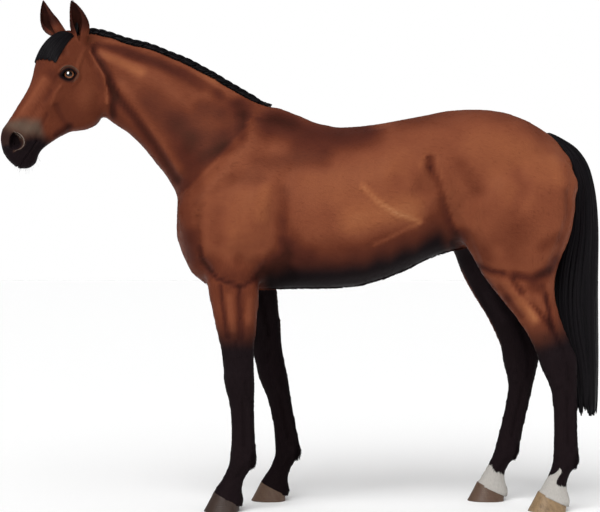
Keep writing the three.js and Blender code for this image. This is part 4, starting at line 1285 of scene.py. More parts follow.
def body_tone(points, normals):
    """From -1, dark, to 1, light: soft painted light and shade over that of the strokes."""
    x, y, z = points.T
    face = fade(-6 * MM, 6 * MM, before_jaw_line(points)) * (x < HEAD_BACK)
    _, tone = stroke_effects(points, normals)
    beside = fade(-0.3, 0.12, normals[:, 1] * np.sign(y)) * (1 - face)
    outward = fade(-0.1, 0.3, normals @ ACROSS * np.sign(on_head(points)[:, 2])) * face
    for shades, flat, shown in ((PAINTED_LIGHT_AND_SHADE_ON_BODY, points[:, [0, 2]] / MM, beside),
                                (PAINTED_LIGHT_AND_SHADE_ON_FACE, face_view(points), outward)):
        near = np.flatnonzero(shown > 0)
        for line, reaches, shade in shades:
            tone[near] += shade * stroke_share(flat[near], line, reaches) * shown[near]
    # the neck is darker towards the head and low in front; painted shade darkens the underside of
    # the belly, the lower chest and forearms and the lower haunch; the face and the ears are darker
    tone -= 0.2 * fade(-0.36, -0.5, x) * (1 - face)
    tone -= 0.15 * fade(-0.40, -0.47, x) * fade(1.36, 1.25, z)
    low = np.interp(x, *BELLY)
    tone -= 0.5 * fade(low + 0.25, low + 0.1, z) * fade(-0.2, -0.05, x) * fade(0.66, 0.5, x)
    tone -= 0.3 * fade(0.98, 0.88, z) * fade(0.1, 0.0, x)
    tone -= 0.2 * fade(0.95, 0.8, z) * fade(0.5, 0.6, x)
    tone -= 0.33 * face
    tone -= 0.6 * fade(0.12, 0.4, ear_place(points)[0])
    return np.clip(tone, -1, 1)


def put_marks(mesh, points, normals):
    black, grey, ears = head_marks(points)
    head = is_head(points) | (ears > 0)
    store(mesh, black=np.maximum(black, black_points(points, normals)), grey=grey,
          tone=body_tone(points, normals), sock=sock_depth(points),
          upright=np.where(head, 0, fade(1.15, 0.95, points[:, 2])), facing=head.astype(float))


skin.shade_smooth()
put_marks(skin, points_of(skin), normals_of(skin))
print("markings kept:", [a.name for a in skin.attributes if a.domain == "POINT"])

# %% [markdown]
# ## Coat
#
# The coat is short, flat hair on skin. Each hair is a smooth keratin fibre, so a groomed
# coat has a soft, streaky gloss, with a little sheen at grazing angles. Single hairs are
# a tenth of a millimetre wide; the streaks here are about 3 mm wide and 25 mm long, as
# coarse as they need to be to show. Hair runs back and down over the body, down the legs
# and down the face, so three stretched noises are blended.

# %% Coat of short bay hair
# the dark and light ends of this ramp also draw the painted light and shade that the tone carries
BAY_TONES = [  # tone and colour, from dark to light
    (-1.0, "#331712"), (-0.6, "#4D241B"), (-0.3, "#623121"), (0.0, "#79422D"),
    (0.35, "#8B5135"), (0.7, "#9C6241"), (1.0, "#AE7854"),
]
STREAK_WIDE, STREAK_LONG = 3 * MM, 25 * MM
COAT_ROUGHNESS, COAT_BUMP = 0.42, 1.2 * MM
MARKS = ["black", "grey", "tone", "sock", "upright", "facing"]
MATH, MIX = "ShaderNodeMath", "ShaderNodeMix"
TIMES = {"operation": "MULTIPLY"}
FIT = {"operation": "MULTIPLY_ADD"}  # stretches a number and then shifts it
FIT_SHARE = {**FIT, "use_clamp": True}  # the same, and keeps it from 0 to 1
COLOUR = {"data_type": "RGBA"}


def streaks(add, place, slope, wide=STREAK_WIDE, long=STREAK_LONG):
    """A noise drawn out along the hair, which lies in side view at this slope in degrees."""
    turned = add("ShaderNodeMapping",
                 {"Vector": place, "Rotation": (0, math.radians(slope), 0)})
    drawn = add("ShaderNodeMapping",
                {"Vector": turned, "Scale": (1 / long, 1 / wide, 1 / wide)})
    return add("ShaderNodeTexNoise",
               {"Vector": drawn, "Scale": 1.0, "Detail": 3.0, "Roughness": 0.6})


def read_in(add, names):
    """The marks as numbers in a material."""
    return {name: add("ShaderNodeAttribute", attribute_name=name).outputs["Fac"]
            for name in names}


def coat_paint(add):
    place = add("ShaderNodeTexCoord").outputs["Object"]
    marks = read_in(add, MARKS)
    body, legs, face = (streaks(add, place, slope) for slope in (-18, -88, 117))
    lie = add(MIX, [marks["facing"], add(MIX, [marks["upright"], body, legs]), face])
    patches = add("ShaderNodeTexNoise", {"Vector": place, "Scale": 1 / 0.11, "Detail": 2.0})

    # the tone brings the painted light and shade; streaks and patches add the coat's own variation
    tone = add(MATH, [lie, 0.36, add(MATH, [marks["tone"], -0.18])], **FIT)
    tone = add(MATH, [patches, 0.3, add(MATH, [tone, -0.15])], **FIT)
    ramp = add("ShaderNodeValToRGB", [add(MATH, [tone, 0.5, 0.5], **FIT_SHARE)])
    while len(ramp.color_ramp.elements) < len(BAY_TONES):
        ramp.color_ramp.elements.new(0.5)
    for element, (at, colour) in zip(ramp.color_ramp.elements, BAY_TONES):
        element.position = (at + 1) / 2
        element.color = linear(colour)

    # where a mark is half black, its edge is ragged
    brown = add(MATH, [1.0, marks["black"]], operation="SUBTRACT")
    half = add(MATH, [marks["black"], brown], **TIMES)
    black = add(MATH, [add(MATH, [lie, 0.5, -0.25], **FIT), half, marks["black"]], **FIT_SHARE)
    grey = add(MATH, [marks["grey"], add(MATH, [lie, 0.6, 0.6], **FIT)],
               **TIMES, use_clamp=True)
    # black hair is lighter where the tone is painted light: a painted sheen on the black legs
    shown = add(MATH, [marks["tone"], 0.5, add(MATH, [lie, 0.5, 0.3], **FIT)], **FIT_SHARE)
    black_hair = add(MIX, [shown, linear("#0E090B"), linear("#261E21")], **COLOUR)
    # above 1 the grey mark is the painted highlight on the nostrils' rims, which turns the grey
    # hair paler
    nostril_rim_highlight = add(MATH, [marks["grey"], 2.0, -2.0], **FIT_SHARE)
    grey_hair = add(MIX, [nostril_rim_highlight, linear("#584A40"), linear("#94887F")], **COLOUR)
    colour = add(MIX, [grey, ramp, grey_hair], **COLOUR)
    colour = add(MIX, [black, colour, black_hair], **COLOUR)
    # the white ends in single locks, about a centimetre long
    edge = add(MATH, [legs, 0.03, add(MATH, [marks["sock"], -0.015])], **FIT)
    white = add(MATH, [edge, 1 / 0.003], **TIMES, use_clamp=True)
    white_hair = add(MIX, [lie, linear("#9B9792"), linear("#C1BDB7")], **COLOUR)
    bump = add("ShaderNodeBump", {"Height": lie, "Strength": 0.5, "Distance": COAT_BUMP})
    return {
        "Base Color": add(MIX, [white, colour, white_hair], **COLOUR),
        "Roughness": add(MATH, [lie, 0.16, COAT_ROUGHNESS], **FIT),
        "Normal": bump,
        "Specular IOR Level": add(MATH, [black, -0.05, 0.07], **FIT),
        "Specular Tint": linear("#FFD0A8"),
    }


COAT = material_of("Short bay horse hair, groomed", coat_paint)
skin_piece = piece_of("skin", skin, COAT)
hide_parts(*FLESH, *("leg_" + leg for leg in LEGS), "ear_left", "ear_right")
print("skin:", triangles(skin), "triangles")

# %% [markdown]
# ## Eyes
#
# A horse's eye is the largest of any land mammal's: a 48 mm ball with a wide, dark pupil
# that lies level, a brown iris with fine folds and hardly any white. Its wet cornea gives
# the sharp highlight. Each ball keeps its own directions on its points, so that one
# material can draw both.

# %% Eyeballs
def eyeball(side, centre):
    axes = np.stack(eye_axes(side))
    ball = bmesh.new()
    bmesh.ops.create_uvsphere(ball, u_segments=64, v_segments=40, radius=1.0)
    mesh = mesh_from(ball, "eyeball")
    gaze = points_of(mesh)
    bulge = 1 + 0.035 * fade(0.55, 0.8, gaze[:, 2])  # the cornea stands out of the ball
    put_points(mesh, centre + (gaze * bulge[:, None] * EYE_RADIUS) @ axes)
    if np.linalg.det(axes) < 0:
        mesh.flip_normals()
    store(mesh, gaze=gaze)
    return mesh


def eye_paint(add):
    """A wet cornea over a brown iris: as smooth as water, and of nearly its index."""
    gaze = add("ShaderNodeAttribute", attribute_name="gaze").outputs["Vector"]
    across, up = add("ShaderNodeSeparateXYZ", [gaze]).outputs[:2]
    flat = add("ShaderNodeCombineXYZ", [across, up])

    def beyond(wide, high, start, end):
        """From 0 to 1 across the edge of an ellipse."""
        scaled = add("ShaderNodeVectorMath", [flat, (1 / wide, 1 / high, 0)], **TIMES)
        reach = add("ShaderNodeVectorMath", [scaled], operation="LENGTH")
        return add("ShaderNodeMapRange", [reach, start, end, 0.0, 1.0])

    turned = add("ShaderNodeCombineXYZ", [add(MATH, [up, across], operation="ARCTAN2")])
    folds = add("ShaderNodeTexNoise", {"Vector": turned, "Scale": 14.0, "Detail": 4.0})
    colour = add(MIX, [folds, linear("#4A2716"), linear("#B06E48")], **COLOUR)
    colour = add(MIX, [beyond(0.58, 0.47, 0.93, 1.06), linear("#07080B"), colour], **COLOUR)
    colour = add(MIX, [beyond(0.9, 0.78, 0.84, 1.0), colour, linear("#1E100C")], **COLOUR)
    # the upper lid and its lashes shade the top
    shaded = add("ShaderNodeMapRange", [up, 0.05, 0.42, 0.0, 0.85])
    colour = add(MIX, [shaded, colour, linear("#100A09")], **COLOUR)
    return {"Base Color": colour, "Roughness": 0.03, "IOR": 1.376}


EYE = material_of("Wet brown horse eye", eye_paint)
for name, (side, centre) in EYES.items():
    eye_piece = piece_of("eyeball_" + name, eyeball(side, centre), EYE)
    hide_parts("eye_" + name)
print("two eyeballs, each", round(2 * EYE_RADIUS / MM), "mm across")

# %% [markdown]
# ## Hooves
#
# A hoof is a box of horn that grows down from the coronet at about 8 mm a month, which
# leaves faint rings, and its fine tubules run down the wall. The wall slopes with the
# pastern and bears the weight on its lower edge, flat on the ground. The sole is a little
# hollow, with the wedge of the frog. The wall is a loft of level outlines.

# %% Hoof walls and soles
HOOF_SIDES, HOOF_ROWS = 72, 26
RING_APART = 8 * MM


def hoof_outline(leg, up):
    """One level of the wall, from the ground, 0, to the coronet, 1."""
    low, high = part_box("hoof_" + leg)
    toe, heel = low.x + 40 * MM * up, high.x - (1 - up) * 5.5 * MM
    foot = (high.y - low.y) / 2
    half = foot - 14 * MM * up
    centre = toe + 0.52 * (heel - toe)
    angles = np.arange(HOOF_SIDES) * 2 * math.pi / HOOF_SIDES
    c, s = np.cos(angles), np.sin(angles)
    power = np.where(c > 0, 0.95, 0.72)
    reach = np.abs(c) ** power
    x = np.where(c > 0, centre + (toe - centre) * reach, centre + (heel - centre) * reach)
    y = (low.y + high.y) / 2 - half * np.sign(s) * np.abs(s) ** power
    rise = np.interp(x, [toe, heel], [high.z, high.z - CORONET_DROP])
    cleft = fade(0.93, 1.0, -c) * 7 * MM * fade(0.1, 0.9, up)  # between the heel bulbs
    return np.stack([x - cleft, y, rise * up], axis=1)


SOLE = ((0.93, 0.0), (0.86, 2.2), (0.7, 4.0), (0.45, 5.0), (0.2, 5.4))  # share, hollow in mm


def ring_faces(rows, sides):
    """The faces between rings of points that lie one after another."""
    index = np.arange(rows * sides).reshape(rows, sides)
    beside = np.roll(index, -1, axis=1)
    corners = [index[:-1], beside[:-1], beside[1:], index[1:]]
    return np.stack(corners, axis=-1).reshape(-1, 4).tolist()


def hoof_mesh(leg):
    rows = []
    for up in np.linspace(0, 1, HOOF_ROWS):
        ring = hoof_outline(leg, up)
        away = unit((ring - ring.mean(axis=0)) * (1, 1, 0))
        ripple = 0.35 * MM * np.cos(2 * math.pi * ring[:, 2] / RING_APART) * fade(0, 0.15, up)
        flare = 1.2 * MM * (1 - up) ** 3
        rows.append(ring + away * (ripple + flare - 0.6 * MM)[:, None])
    top, bottom = rows[-1], rows[0]
    for inset in (4 * MM, 14 * MM):
        rows.append(top + (top.mean(axis=0) - top) * inset / (50 * MM) + (0, 0, 0.5 * MM))
    centre = bottom.mean(axis=0)
    for share, hollow in SOLE:
        ring = centre + (bottom - centre) * share
        frog = np.exp(-((ring[:, 1] - centre[1]) / (13 * MM)) ** 2)
        frog *= fade(-0.01, 0.03, ring[:, 0] - centre[0])
        ring[:, 2] = hollow * MM - frog * min(hollow, 3.4) * MM
        rows.insert(0, ring)
    points = [*np.concatenate(rows), rows[0].mean(axis=0), rows[-1].mean(axis=0)]
    faces = ring_faces(len(rows), HOOF_SIDES)
    last = (len(rows) - 1) * HOOF_SIDES
    for s in range(HOOF_SIDES):
        n = (s + 1) % HOOF_SIDES
        faces += [(len(points) - 2, n, s), (len(points) - 1, last + s, last + n)]
    return facing_out(mesh_of("hoof", points, faces))


TUBULE_SLOPE = -58  # degrees: the hair of the horn runs down the sloping wall


def horn_paint(add, dark, light, streak):
    """Horn is keratin: a waxy, half-gloss surface with lengthwise tubules and rings."""
    place = add("ShaderNodeTexCoord").outputs["Object"]
    tubules = streaks(add, place, TUBULE_SLOPE, wide=2.2 * MM, long=70 * MM)
    stains = streaks(add, place, TUBULE_SLOPE, wide=11 * MM, long=90 * MM)
    grime = add("ShaderNodeTexNoise", {"Vector": place, "Scale": 60.0})
    colour = add(MIX, [tubules, linear(dark), linear(light)], **COLOUR)
    strong = add("ShaderNodeMapRange", [stains, 0.45, 0.7, 0.0, 0.7])
    colour = add(MIX, [strong, colour, linear(streak)], **COLOUR)
    height = add("ShaderNodeSeparateXYZ", [place]).outputs["Z"]
    wave = add(MATH, [height, 2 * math.pi / RING_APART], **TIMES)
    band = add(MATH, [wave], operation="SINE")
    shade = add("ShaderNodeMapRange", [band, -1.0, 1.0, 0.0, 0.22])
    return {
        "Base Color": add(MIX, [shade, colour, linear(dark)], **COLOUR),
        "Roughness": add("ShaderNodeMapRange", {0: grime, 3: 0.38, 4: 0.62}),
        "Normal": add("ShaderNodeBump",
                      {"Height": tubules, "Strength": 0.35, "Distance": 0.4 * MM}),
        "Specular IOR Level": 0.45,
    }


DARK_HORN = material_of("Dark hoof horn", horn_paint, "#2A1E19", "#433229", "#34261F")
BROWN_HORN = material_of("Brown hoof horn", horn_paint, "#463329", "#705A48", "#54392F")
PALE_HORN = material_of("Pale hoof horn", horn_paint, "#7C6449", "#A08664", "#5E4936")
HORNS = {
    "left_fore": ("dark_horn", DARK_HORN), "right_fore": ("dark_horn", BROWN_HORN),
    "left_hind": ("pale_horn", PALE_HORN), "right_hind": ("dark_horn", BROWN_HORN),
}
for leg, (slot, horn) in HORNS.items():
    hoof_piece = piece_of("hoof_wall_" + leg, hoof_mesh(leg), horn)
    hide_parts("hoof_" + leg)
print("four hooves")

# %% [markdown]
# ## Long hair
#
# Mane, forelock and tail are black hair that clings together in flat locks a few
# millimetres across. A model of every hair would be far too heavy, so each lock is one thin
# tube. The lines that the locks follow are worked out first, and then one Geometry Nodes
# tree wraps a flat tube round every line.

# %% A tree that wraps locks round lines
KEEP, TOLD = "GeometryNodeStoreNamedAttribute", "GeometryNodeInputNamedAttribute"


def grower(name, sockets, build):
    """A tree with named inputs. What build makes is realized, mapped and given its hair."""
    tree = bpy.data.node_groups.new(name, "GeometryNodeTree")
    for socket, kind in {**sockets, "Patch": "Float", "Hair": "Material"}.items():
        tree.interface.new_socket(socket, in_out="INPUT", socket_type="NodeSocket" + kind)
    tree.interface.new_socket("Grown", in_out="OUTPUT", socket_type="NodeSocketGeometry")
    add = partial(add_node, tree)
    given = add("NodeGroupInput").outputs
    share = add("GeometryNodeSplineParameter")

    # the section of a lock or tuft is a flat ring, which knows its own width
    sides = given["Sides"]
    ring = add("GeometryNodeCurvePrimitiveCircle", {"Resolution": sides, "Radius": 1.0})
    flat = add("ShaderNodeCombineXYZ", [given["Flatness"], 1.0, 1.0])
    ring = add("GeometryNodeTransform", {"Geometry": ring, "Scale": flat})
    place = add("ShaderNodeSeparateXYZ", [add("GeometryNodeInputPosition")])
    ring = add(KEEP, {"Geometry": ring, "Name": "across", "Value": place.outputs["Y"]})

    # its map is a small patch: across and along it, beside the place of its root
    made, wide, middle, root = build(add, given, share, ring)
    plain = add("GeometryNodeRealizeInstances", {"Geometry": made})
    across, along = (add(TOLD, {"Name": mark}, data_type="FLOAT") for mark in ("across", "along"))
    patch = add("ShaderNodeCombineXYZ", [add(MATH, [across, wide, middle], **FIT), along])
    spread = add("ShaderNodeVectorMath", {0: patch, 3: given["Patch"]}, operation="SCALE")
    corner = add("ShaderNodeVectorMath",
                 [spread, add(TOLD, {"Name": root}, data_type="FLOAT_VECTOR")], operation="ADD")
    plain = add(KEEP, {"Geometry": plain, "Name": "OFBake", "Value": corner},
                data_type="FLOAT2", domain="CORNER")
    add("NodeGroupOutput",
        [add("GeometryNodeSetMaterial", {"Geometry": plain, "Material": given["Hair"]})])
    return tree


def build_locks(add, given, share, ring):
    curves = add("GeometryNodeMeshToCurve", {"Mesh": given["Lines"]})
    facing = add(TOLD, {"Name": "facing"}, data_type="FLOAT_VECTOR")
    curves = add("GeometryNodeSetCurveNormal", {"Curve": curves, "Normal": facing}, mode="FREE")
    curves = add(KEEP, {"Geometry": curves, "Name": "along", "Value": share})
    width = add(TOLD, {"Name": "half_width"}, data_type="FLOAT")
    wrapped = add("GeometryNodeCurveToMesh", {"Curve": curves, "Profile Curve": ring,
                                              "Scale": width, "Fill Caps": True})
    return wrapped, 0.45, 0.5, "cell"


def grown(mesh, tree, **inputs):
    """The plain mesh that a tree makes of another mesh. Inputs are set before it runs."""
    sockets = [(socket.identifier, inputs[socket.name]) for socket in tree.interface.items_tree
               if socket.in_out == "INPUT" and socket.name in inputs]
    made = settled(mesh, "NODES", sockets, node_group=tree)
    made.shade_smooth()
    return made


LOCK_TREE = grower("locks along lines",
                   {"Lines": "Geometry", "Sides": "Int", "Flatness": "Float"}, build_locks)


def pointed(share, root, grown_at, tip, falls_at):
    """How wide a lock is along its length: less at its root, 1 between, less at its tip."""
    rising = root + (1 - root) * fade(0, grown_at, share)
    return rising * (tip + (1 - tip) * fade(1, falls_at, share))


def locks(lines, facing, half_widths, sides, flatness):
    """Flat tubes along lines: an array of locks, points on each, and X, Y, Z."""
    count, steps = lines.shape[:2]
    first = np.arange(count)[:, None] * steps + np.arange(steps - 1)
    edges = np.stack([first, first + 1], 2).reshape(-1, 2)
    guides = mesh_of("guides", lines.reshape(-1, 3), [], edges)
    tangents = np.gradient(lines, axis=1)
    facing = np.cross(np.cross(tangents, facing), tangents)
    facing /= np.linalg.norm(facing, axis=2)[..., None] + 1e-12
    across = math.ceil(math.sqrt(count))
    cell = np.stack([np.arange(count) % across, np.arange(count) // across,
                     np.zeros(count)], axis=1) / across
    runs = np.linalg.norm(np.diff(lines, axis=1), axis=2)
    far = np.concatenate([np.zeros((count, 1)), np.cumsum(runs, axis=1)], axis=1)
    store(guides, facing=facing, half_width=np.broadcast_to(half_widths, (count, steps)),
          cell=np.repeat(cell, steps, axis=0), far=far,
          chance=np.repeat(CHANCE.random(count), steps))
    return grown(guides, LOCK_TREE, Sides=sides, Flatness=flatness, Patch=0.98 / across,
                 Hair=HAIR)


# single hairs are 0.15 mm wide: these are drawn five times as wide, to show
HAIR_STRETCH = {"across": 7.0, "far": 1 / 0.09, "chance": 97.0}


def hair_paint(add):
    """Horse hair: round keratin fibres, smooth along and rough across, with a dull gloss."""
    marks = read_in(add, HAIR_STRETCH)
    place = add("ShaderNodeCombineXYZ", [
        add(MATH, [marks[name], times], **TIMES)
        for name, times in HAIR_STRETCH.items()])
    fibres = add("ShaderNodeTexNoise", {"Vector": place, "Scale": 1.0, "Detail": 3.0})
    shade = add(MATH, [marks["chance"], 0.55], **TIMES)
    share = add(MATH, [fibres, 0.7, shade], **FIT_SHARE)
    return {
        "Base Color": add(MIX, [share, linear("#060507"), linear("#131013")], **COLOUR),
        "Roughness": add("ShaderNodeMapRange", {0: fibres, 3: 0.36, 4: 0.56}),
        "Normal": add("ShaderNodeBump",
                      {"Height": fibres, "Strength": 0.6, "Distance": 0.5 * MM}),
        "Specular IOR Level": 0.09,
    }


HAIR = material_of("Black horse mane hair", hair_paint)
print("tree with", len(LOCK_TREE.interface.items_tree), "named sockets")

# %% [markdown]
# ## Tail
#
# Tail hair grows along the fleshy dock. It fans out from the middle of the dock, falls
# straight down past the hocks and is cut level. Each lock keeps its own place round the
# oval section of the tail. A solid core behind them keeps light from showing through.

# %% Tail
TAIL_RIBS = np.array([
    # outer edge: in from the back, height; inner edge: the same; half the width
    [240, 1538, 240, 1482, 22], [195, 1526, 205, 1442, 32], [143, 1500, 175, 1405, 42],
    [88, 1462, 148, 1375, 52], [45, 1400, 130, 1335, 60], [22, 1325, 126, 1285, 66],
    [8, 1240, 133, 1215, 70], [1, 1130, 143, 1120, 74], [0, 1000, 173, 1000, 78],
    [1, 860, 191, 860, 80], [1, 720, 175, 720, 80], [1, 580, 133, 580, 78],
    [3, 460, 113, 460, 74], [6, 372, 103, 372, 68],
]) * MM
TAIL_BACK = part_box("tail")[1].x - 3 * MM
TAIL_CLUMPS = 17


def in_tail(share, angle, depth):
    """A place in the tail: share down it, angle round it, from behind, and depth."""
    ribs = follow(np.linspace(0, 1, len(TAIL_RIBS)), TAIL_RIBS, share)
    outer = np.stack([TAIL_BACK - ribs[..., 0], ribs[..., 1]], axis=-1)
    inner = np.stack([TAIL_BACK - ribs[..., 2], ribs[..., 3]], axis=-1)
    c, s = np.cos(angle), np.sin(angle)
    c, s = (np.sign(v) * np.abs(v) ** 0.9 * depth for v in (c, s))
    side = (outer + inner) / 2 + (outer - inner) / 2 * c[..., None]
    y = ribs[..., 4] * s
    return np.stack([side[..., 0], y, side[..., 1]], axis=-1)


def tail_locks():
    count, steps = 330, 40
    layer = np.arange(count) % 3
    angle = (np.arange(count) + CHANCE.random(count)) / count * 2 * math.pi - math.pi
    start = np.where(np.abs(angle) < 2, 0.0, 0.08) + CHANCE.random(count) * 0.1 * (layer + 0.2)
    clump = np.round((angle + math.pi) / (2 * math.pi) * TAIL_CLUMPS) / TAIL_CLUMPS
    clump_angle = clump * 2 * math.pi - math.pi
    ragged = 0.016 * np.sin(clump * 40 + 1.3) + 0.01 * np.sin(clump * 91)
    away = np.abs(angle - clump_angle) / (math.pi / TAIL_CLUMPS)
    end = 0.992 + ragged - 0.012 * away**2 - 0.006 * CHANCE.random(count)
    share = np.linspace(0, 1, steps)
    down = np.clip(start[:, None] + (end - start)[:, None] * share, 0, 1)
    fan = 0.3 + 0.7 * fade(0.0, 0.34, down)
    waves = down * CHANCE.uniform(5, 11, count)[:, None]
    drift = 0.05 * np.sin(waves + CHANCE.uniform(0, 6, count)[:, None])
    close = 0.55 * fade(0.84, 1.0, down)
    turn = (angle[:, None] + (clump_angle - angle)[:, None] * close) * fan + drift
    depth = np.array([1.0, 0.94, 0.86])[layer][:, None]
    depth = depth + 0.015 * np.sin(down * 9 + angle[:, None] * 7)
    depth = depth * (0.55 + 0.45 * fade(0, 0.08, share)) - 0.1 * away[:, None] * close
    lines = in_tail(down, turn, depth)
    beside = in_tail(down, turn + 0.02, depth) - in_tail(down, turn - 0.02, depth)
    facing = np.cross(beside, np.gradient(lines, axis=1))
    width = CHANCE.uniform(5.0, 8.5, count)[:, None] * MM
    width = width * pointed(share, 0.35, 0.12, 0.1, 0.955)
    return locks(lines, facing, width, 6, 0.35)


def tail_core():
    """A closed, ribbed loft inside the locks."""
    rows, sides = 44, 48
    share = np.linspace(0.01, 0.945, rows)[:, None]
    angles = np.arange(sides) / sides * 2 * math.pi
    ribbed = 0.84 + 0.03 * np.cos(angles * 16)
    points = in_tail(*np.broadcast_arrays(share, angles, ribbed)).reshape(-1, 3)
    ends = np.arange(rows * sides).reshape(rows, sides)[[0, -1]].tolist()
    mesh = facing_out(mesh_of("core", points, ring_faces(rows, sides) + [ends[0], ends[1][::-1]]))
    store(mesh, across=np.tile(np.sin(angles * 9), rows), far=np.repeat(share.ravel(), sides),
          chance=np.tile(np.round(angles * 4) * 0.37 % 1, rows))
    return mesh


tail_piece = piece_of("tail_locks", tail_locks(), HAIR)
piece_of("tail_core", tail_core(), HAIR)
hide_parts("tail")
print("tail:", triangles(tail_piece.data), "triangles")

# %% [markdown]
# ## Mane
#
# The mane is plaited along the crest in one running plait: three strands that cross over
# and under each other, growing thinner towards the withers. A strand swings to and fro
# once while it goes up and down twice, a third of a swing behind the one before it. Hair
# from both sides of the crest is gathered in as the plait goes along. A thick lock in the
# middle of the plait closes the gaps between the strands.

# %% Running plait
PLAIT_SWING = 112 * MM  # the length in which a strand comes back to its place
PLAIT_RADIUS = (10.5 * MM, 7.5 * MM)  # at the poll and at the withers
SKIN_SURFACE = surface_of(skin)


def crest_line(steps):
    """The middle of the plait, a little below the top of the mane's solid, and its frame."""
    places = np.linspace(MANE_TOP[0, 0], MANE_TOP[-1, 0], steps)
    line = follow(MANE_TOP[:, 0], MANE_TOP, places)
    line[:, 1] = np.polyval(np.polyfit(MANE_TOP[:, 0], MANE_TOP[:, 1], 4), places)
    tangent = unit(np.gradient(line, axis=0))
    side = unit(np.cross(tangent, (0, 0, 1)))
    up = np.cross(side, tangent)
    run = np.concatenate([[0], np.cumsum(np.linalg.norm(np.diff(line, axis=0), axis=1))])
    radius = np.interp(run / run[-1], [0, 0.02, 1], [PLAIT_RADIUS[0] * 0.8, *PLAIT_RADIUS])
    return line - up * (0.9 * radius)[:, None], side, up, run, radius


def plait_locks():
    steps, strands, bundle = 190, 3, 10
    line, side, up, run, radius = crest_line(steps)
    share = run / run[-1]
    sunk = 24 * MM * fade(0.88, 1.0, share) ** 2
    line = line - up * sunk[:, None]
    lines = [line - up * (depth * radius)[:, None] for depth in (0.35, 1.2, 2.0)]
    facing = [up] * len(lines)
    for strand in range(strands):
        swing = 2 * math.pi * (run / PLAIT_SWING + strand / strands)
        middle = line + up * (0.6 * radius * np.sin(swing))[:, None]
        middle = middle + side * (0.5 * radius * np.sin(2 * swing))[:, None]
        for lock in range(bundle):
            turn = 2 * math.pi * lock / bundle + run / 0.09
            away = up * np.cos(turn)[:, None] + side * np.sin(turn)[:, None]
            lines.append(middle + away * (0.36 * radius)[:, None])
            facing.append(away)
    width = np.full((len(lines), steps), 0.19) * radius
    width *= pointed(share, 0.25, 0.01, 0.2, 0.96)
    width[:3] *= 3.6
    return locks(np.array(lines), np.array(facing), width, 5, 0.8)


def gathered_locks():
    """Short hair that is combed from the crest into the plait, on both sides."""
    count, steps = 420, 9
    line, side, up, _, radius = crest_line(400)
    which = np.linspace(0, 396, count).astype(int)
    which = np.clip(which + CHANCE.integers(-3, 4, count), 0, 399)
    hand = np.where(np.arange(count) % 2, 1.0, -1.0)
    share = np.linspace(0, 1, steps)
    lines = np.empty((count, steps, 3))
    for i, at in enumerate(which):
        ahead = line[min(at + 14, 399)] - line[at]
        root = line[at] + side[at] * hand[i] * 15 * MM
        skin_place, _, _, _ = SKIN_SURFACE.find_nearest(Vector(root - up[at] * 12 * MM))
        tip = line[at] + ahead + (side[at] * hand[i] * 0.5 + up[at] * 0.15) * radius[at]
        bulge = (side[at] * hand[i] * 5 + up[at] * 1.5) * MM
        lines[i] = np.array(skin_place) * (1 - share[:, None]) + tip * share[:, None]
        lines[i] += bulge * np.sin(math.pi * share)[:, None]
    facing = hand[:, None, None] * side[which][:, None] + 0.5 * up[which][:, None]
    facing = facing + np.zeros_like(lines)
    width = (3.4 * MM * radius[which] / PLAIT_RADIUS[0])[:, None]
    width = width * pointed(share, 0.45, 0.3, 0.4, 0.8)
    return locks(lines, facing, width, 4, 0.35)


plait_piece = piece_of("mane_plait", plait_locks(), HAIR)
piece_of("mane_gathered", gathered_locks(), HAIR)
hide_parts("mane")
print("plait:", triangles(plait_piece.data), "triangles")

# %% [markdown]
# ## Forelock
#
# The forelock is the front end of the mane. It comes forward between the ears, is combed
# flat over the whole brow and is cut straight across above the eyes. Each lock lies a few
# millimetres above the skin, which is found with rays towards the middle of the head.

# %% Forelock
FORELOCK = np.array([  # down the face, how far round the head it spreads, and how thick it is
    [-46, 34, 9], [-20, 44, 11], [0, 47, 10], [30, 49, 9], [60, 50, 8], [100, 51, 7],
    [164, 54, 6],
])
SKULL_OUT = -60 * MM  # the middle of the skull, below the line of the face


def over_skin(along, turn):
    """The place on the skin some way round the head, and the way outwards there."""
    outwards = Vector(OUT * math.cos(turn) + ACROSS * math.sin(turn))
    middle = Vector(from_head((along, SKULL_OUT, 0)))
    hit, _, _, _ = SKULL_SURFACE.ray_cast(middle + outwards * 0.2, -outwards)
    return np.array(hit or middle + outwards * 0.09), np.array(outwards)


def forelock_locks():
    count, steps = 320, 18
    spread = (np.arange(count) + CHANCE.random(count)) / count * 2 - 1
    layer = CHANCE.random(count)
    start = (-46 + 26 * CHANCE.random(count) * layer) * MM
    tip = 3 * np.sin(spread * 31) + CHANCE.uniform(-3, 2, count)
    end = (157 + 5 * np.cos(spread * 1.5) + tip) * MM
    lines, facing = np.empty((count, steps, 3)), np.empty((count, steps, 3))
    for i in range(count):
        along = np.linspace(start[i], end[i], steps)
        round_head, thick = follow(FORELOCK[:, 0] * MM, FORELOCK[:, 1:], along).T
        turn = np.radians(spread[i] * round_head)
        places, outwards = (np.array(v) for v in zip(*(over_skin(*p) for p in zip(along, turn))))
        middle = from_head([(a, SKULL_OUT, 0) for a in along])
        depth = np.linalg.norm(places - middle, axis=1)
        depth = np.convolve(np.pad(depth, 2, "edge"), np.ones(5) / 5, "valid")
        lift = thick * MM * (0.25 + 0.75 * math.sqrt(1 - (0.95 * spread[i]) ** 2) * layer[i])
        lines[i] = middle + outwards * (depth + lift)[:, None]
        facing[i] = outwards
    share = np.linspace(0, 1, steps)
    width = CHANCE.uniform(2.6, 4.2, count)[:, None] * MM
    width = width * pointed(share, 0.4, 0.12, 0.25, 0.96)
    return locks(lines, facing, width, 6, 0.4)


forelock_piece = piece_of("forelock_locks", forelock_locks(), HAIR)
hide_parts("forelock")
print("forelock:", triangles(forelock_piece.data), "triangles")

# %% [markdown]
# ## A map of the skin for hair roots
#
# Every tuft of hair has its own small patch of texture, at the place of its root on a flat
# map of the skin. The skin is unrolled part by part: each part is like a sausage round its
# own bone line, so a place's angle round that line gives one direction of the map and its
# way along the line the other. The rounded ends carry on over the end of the line.

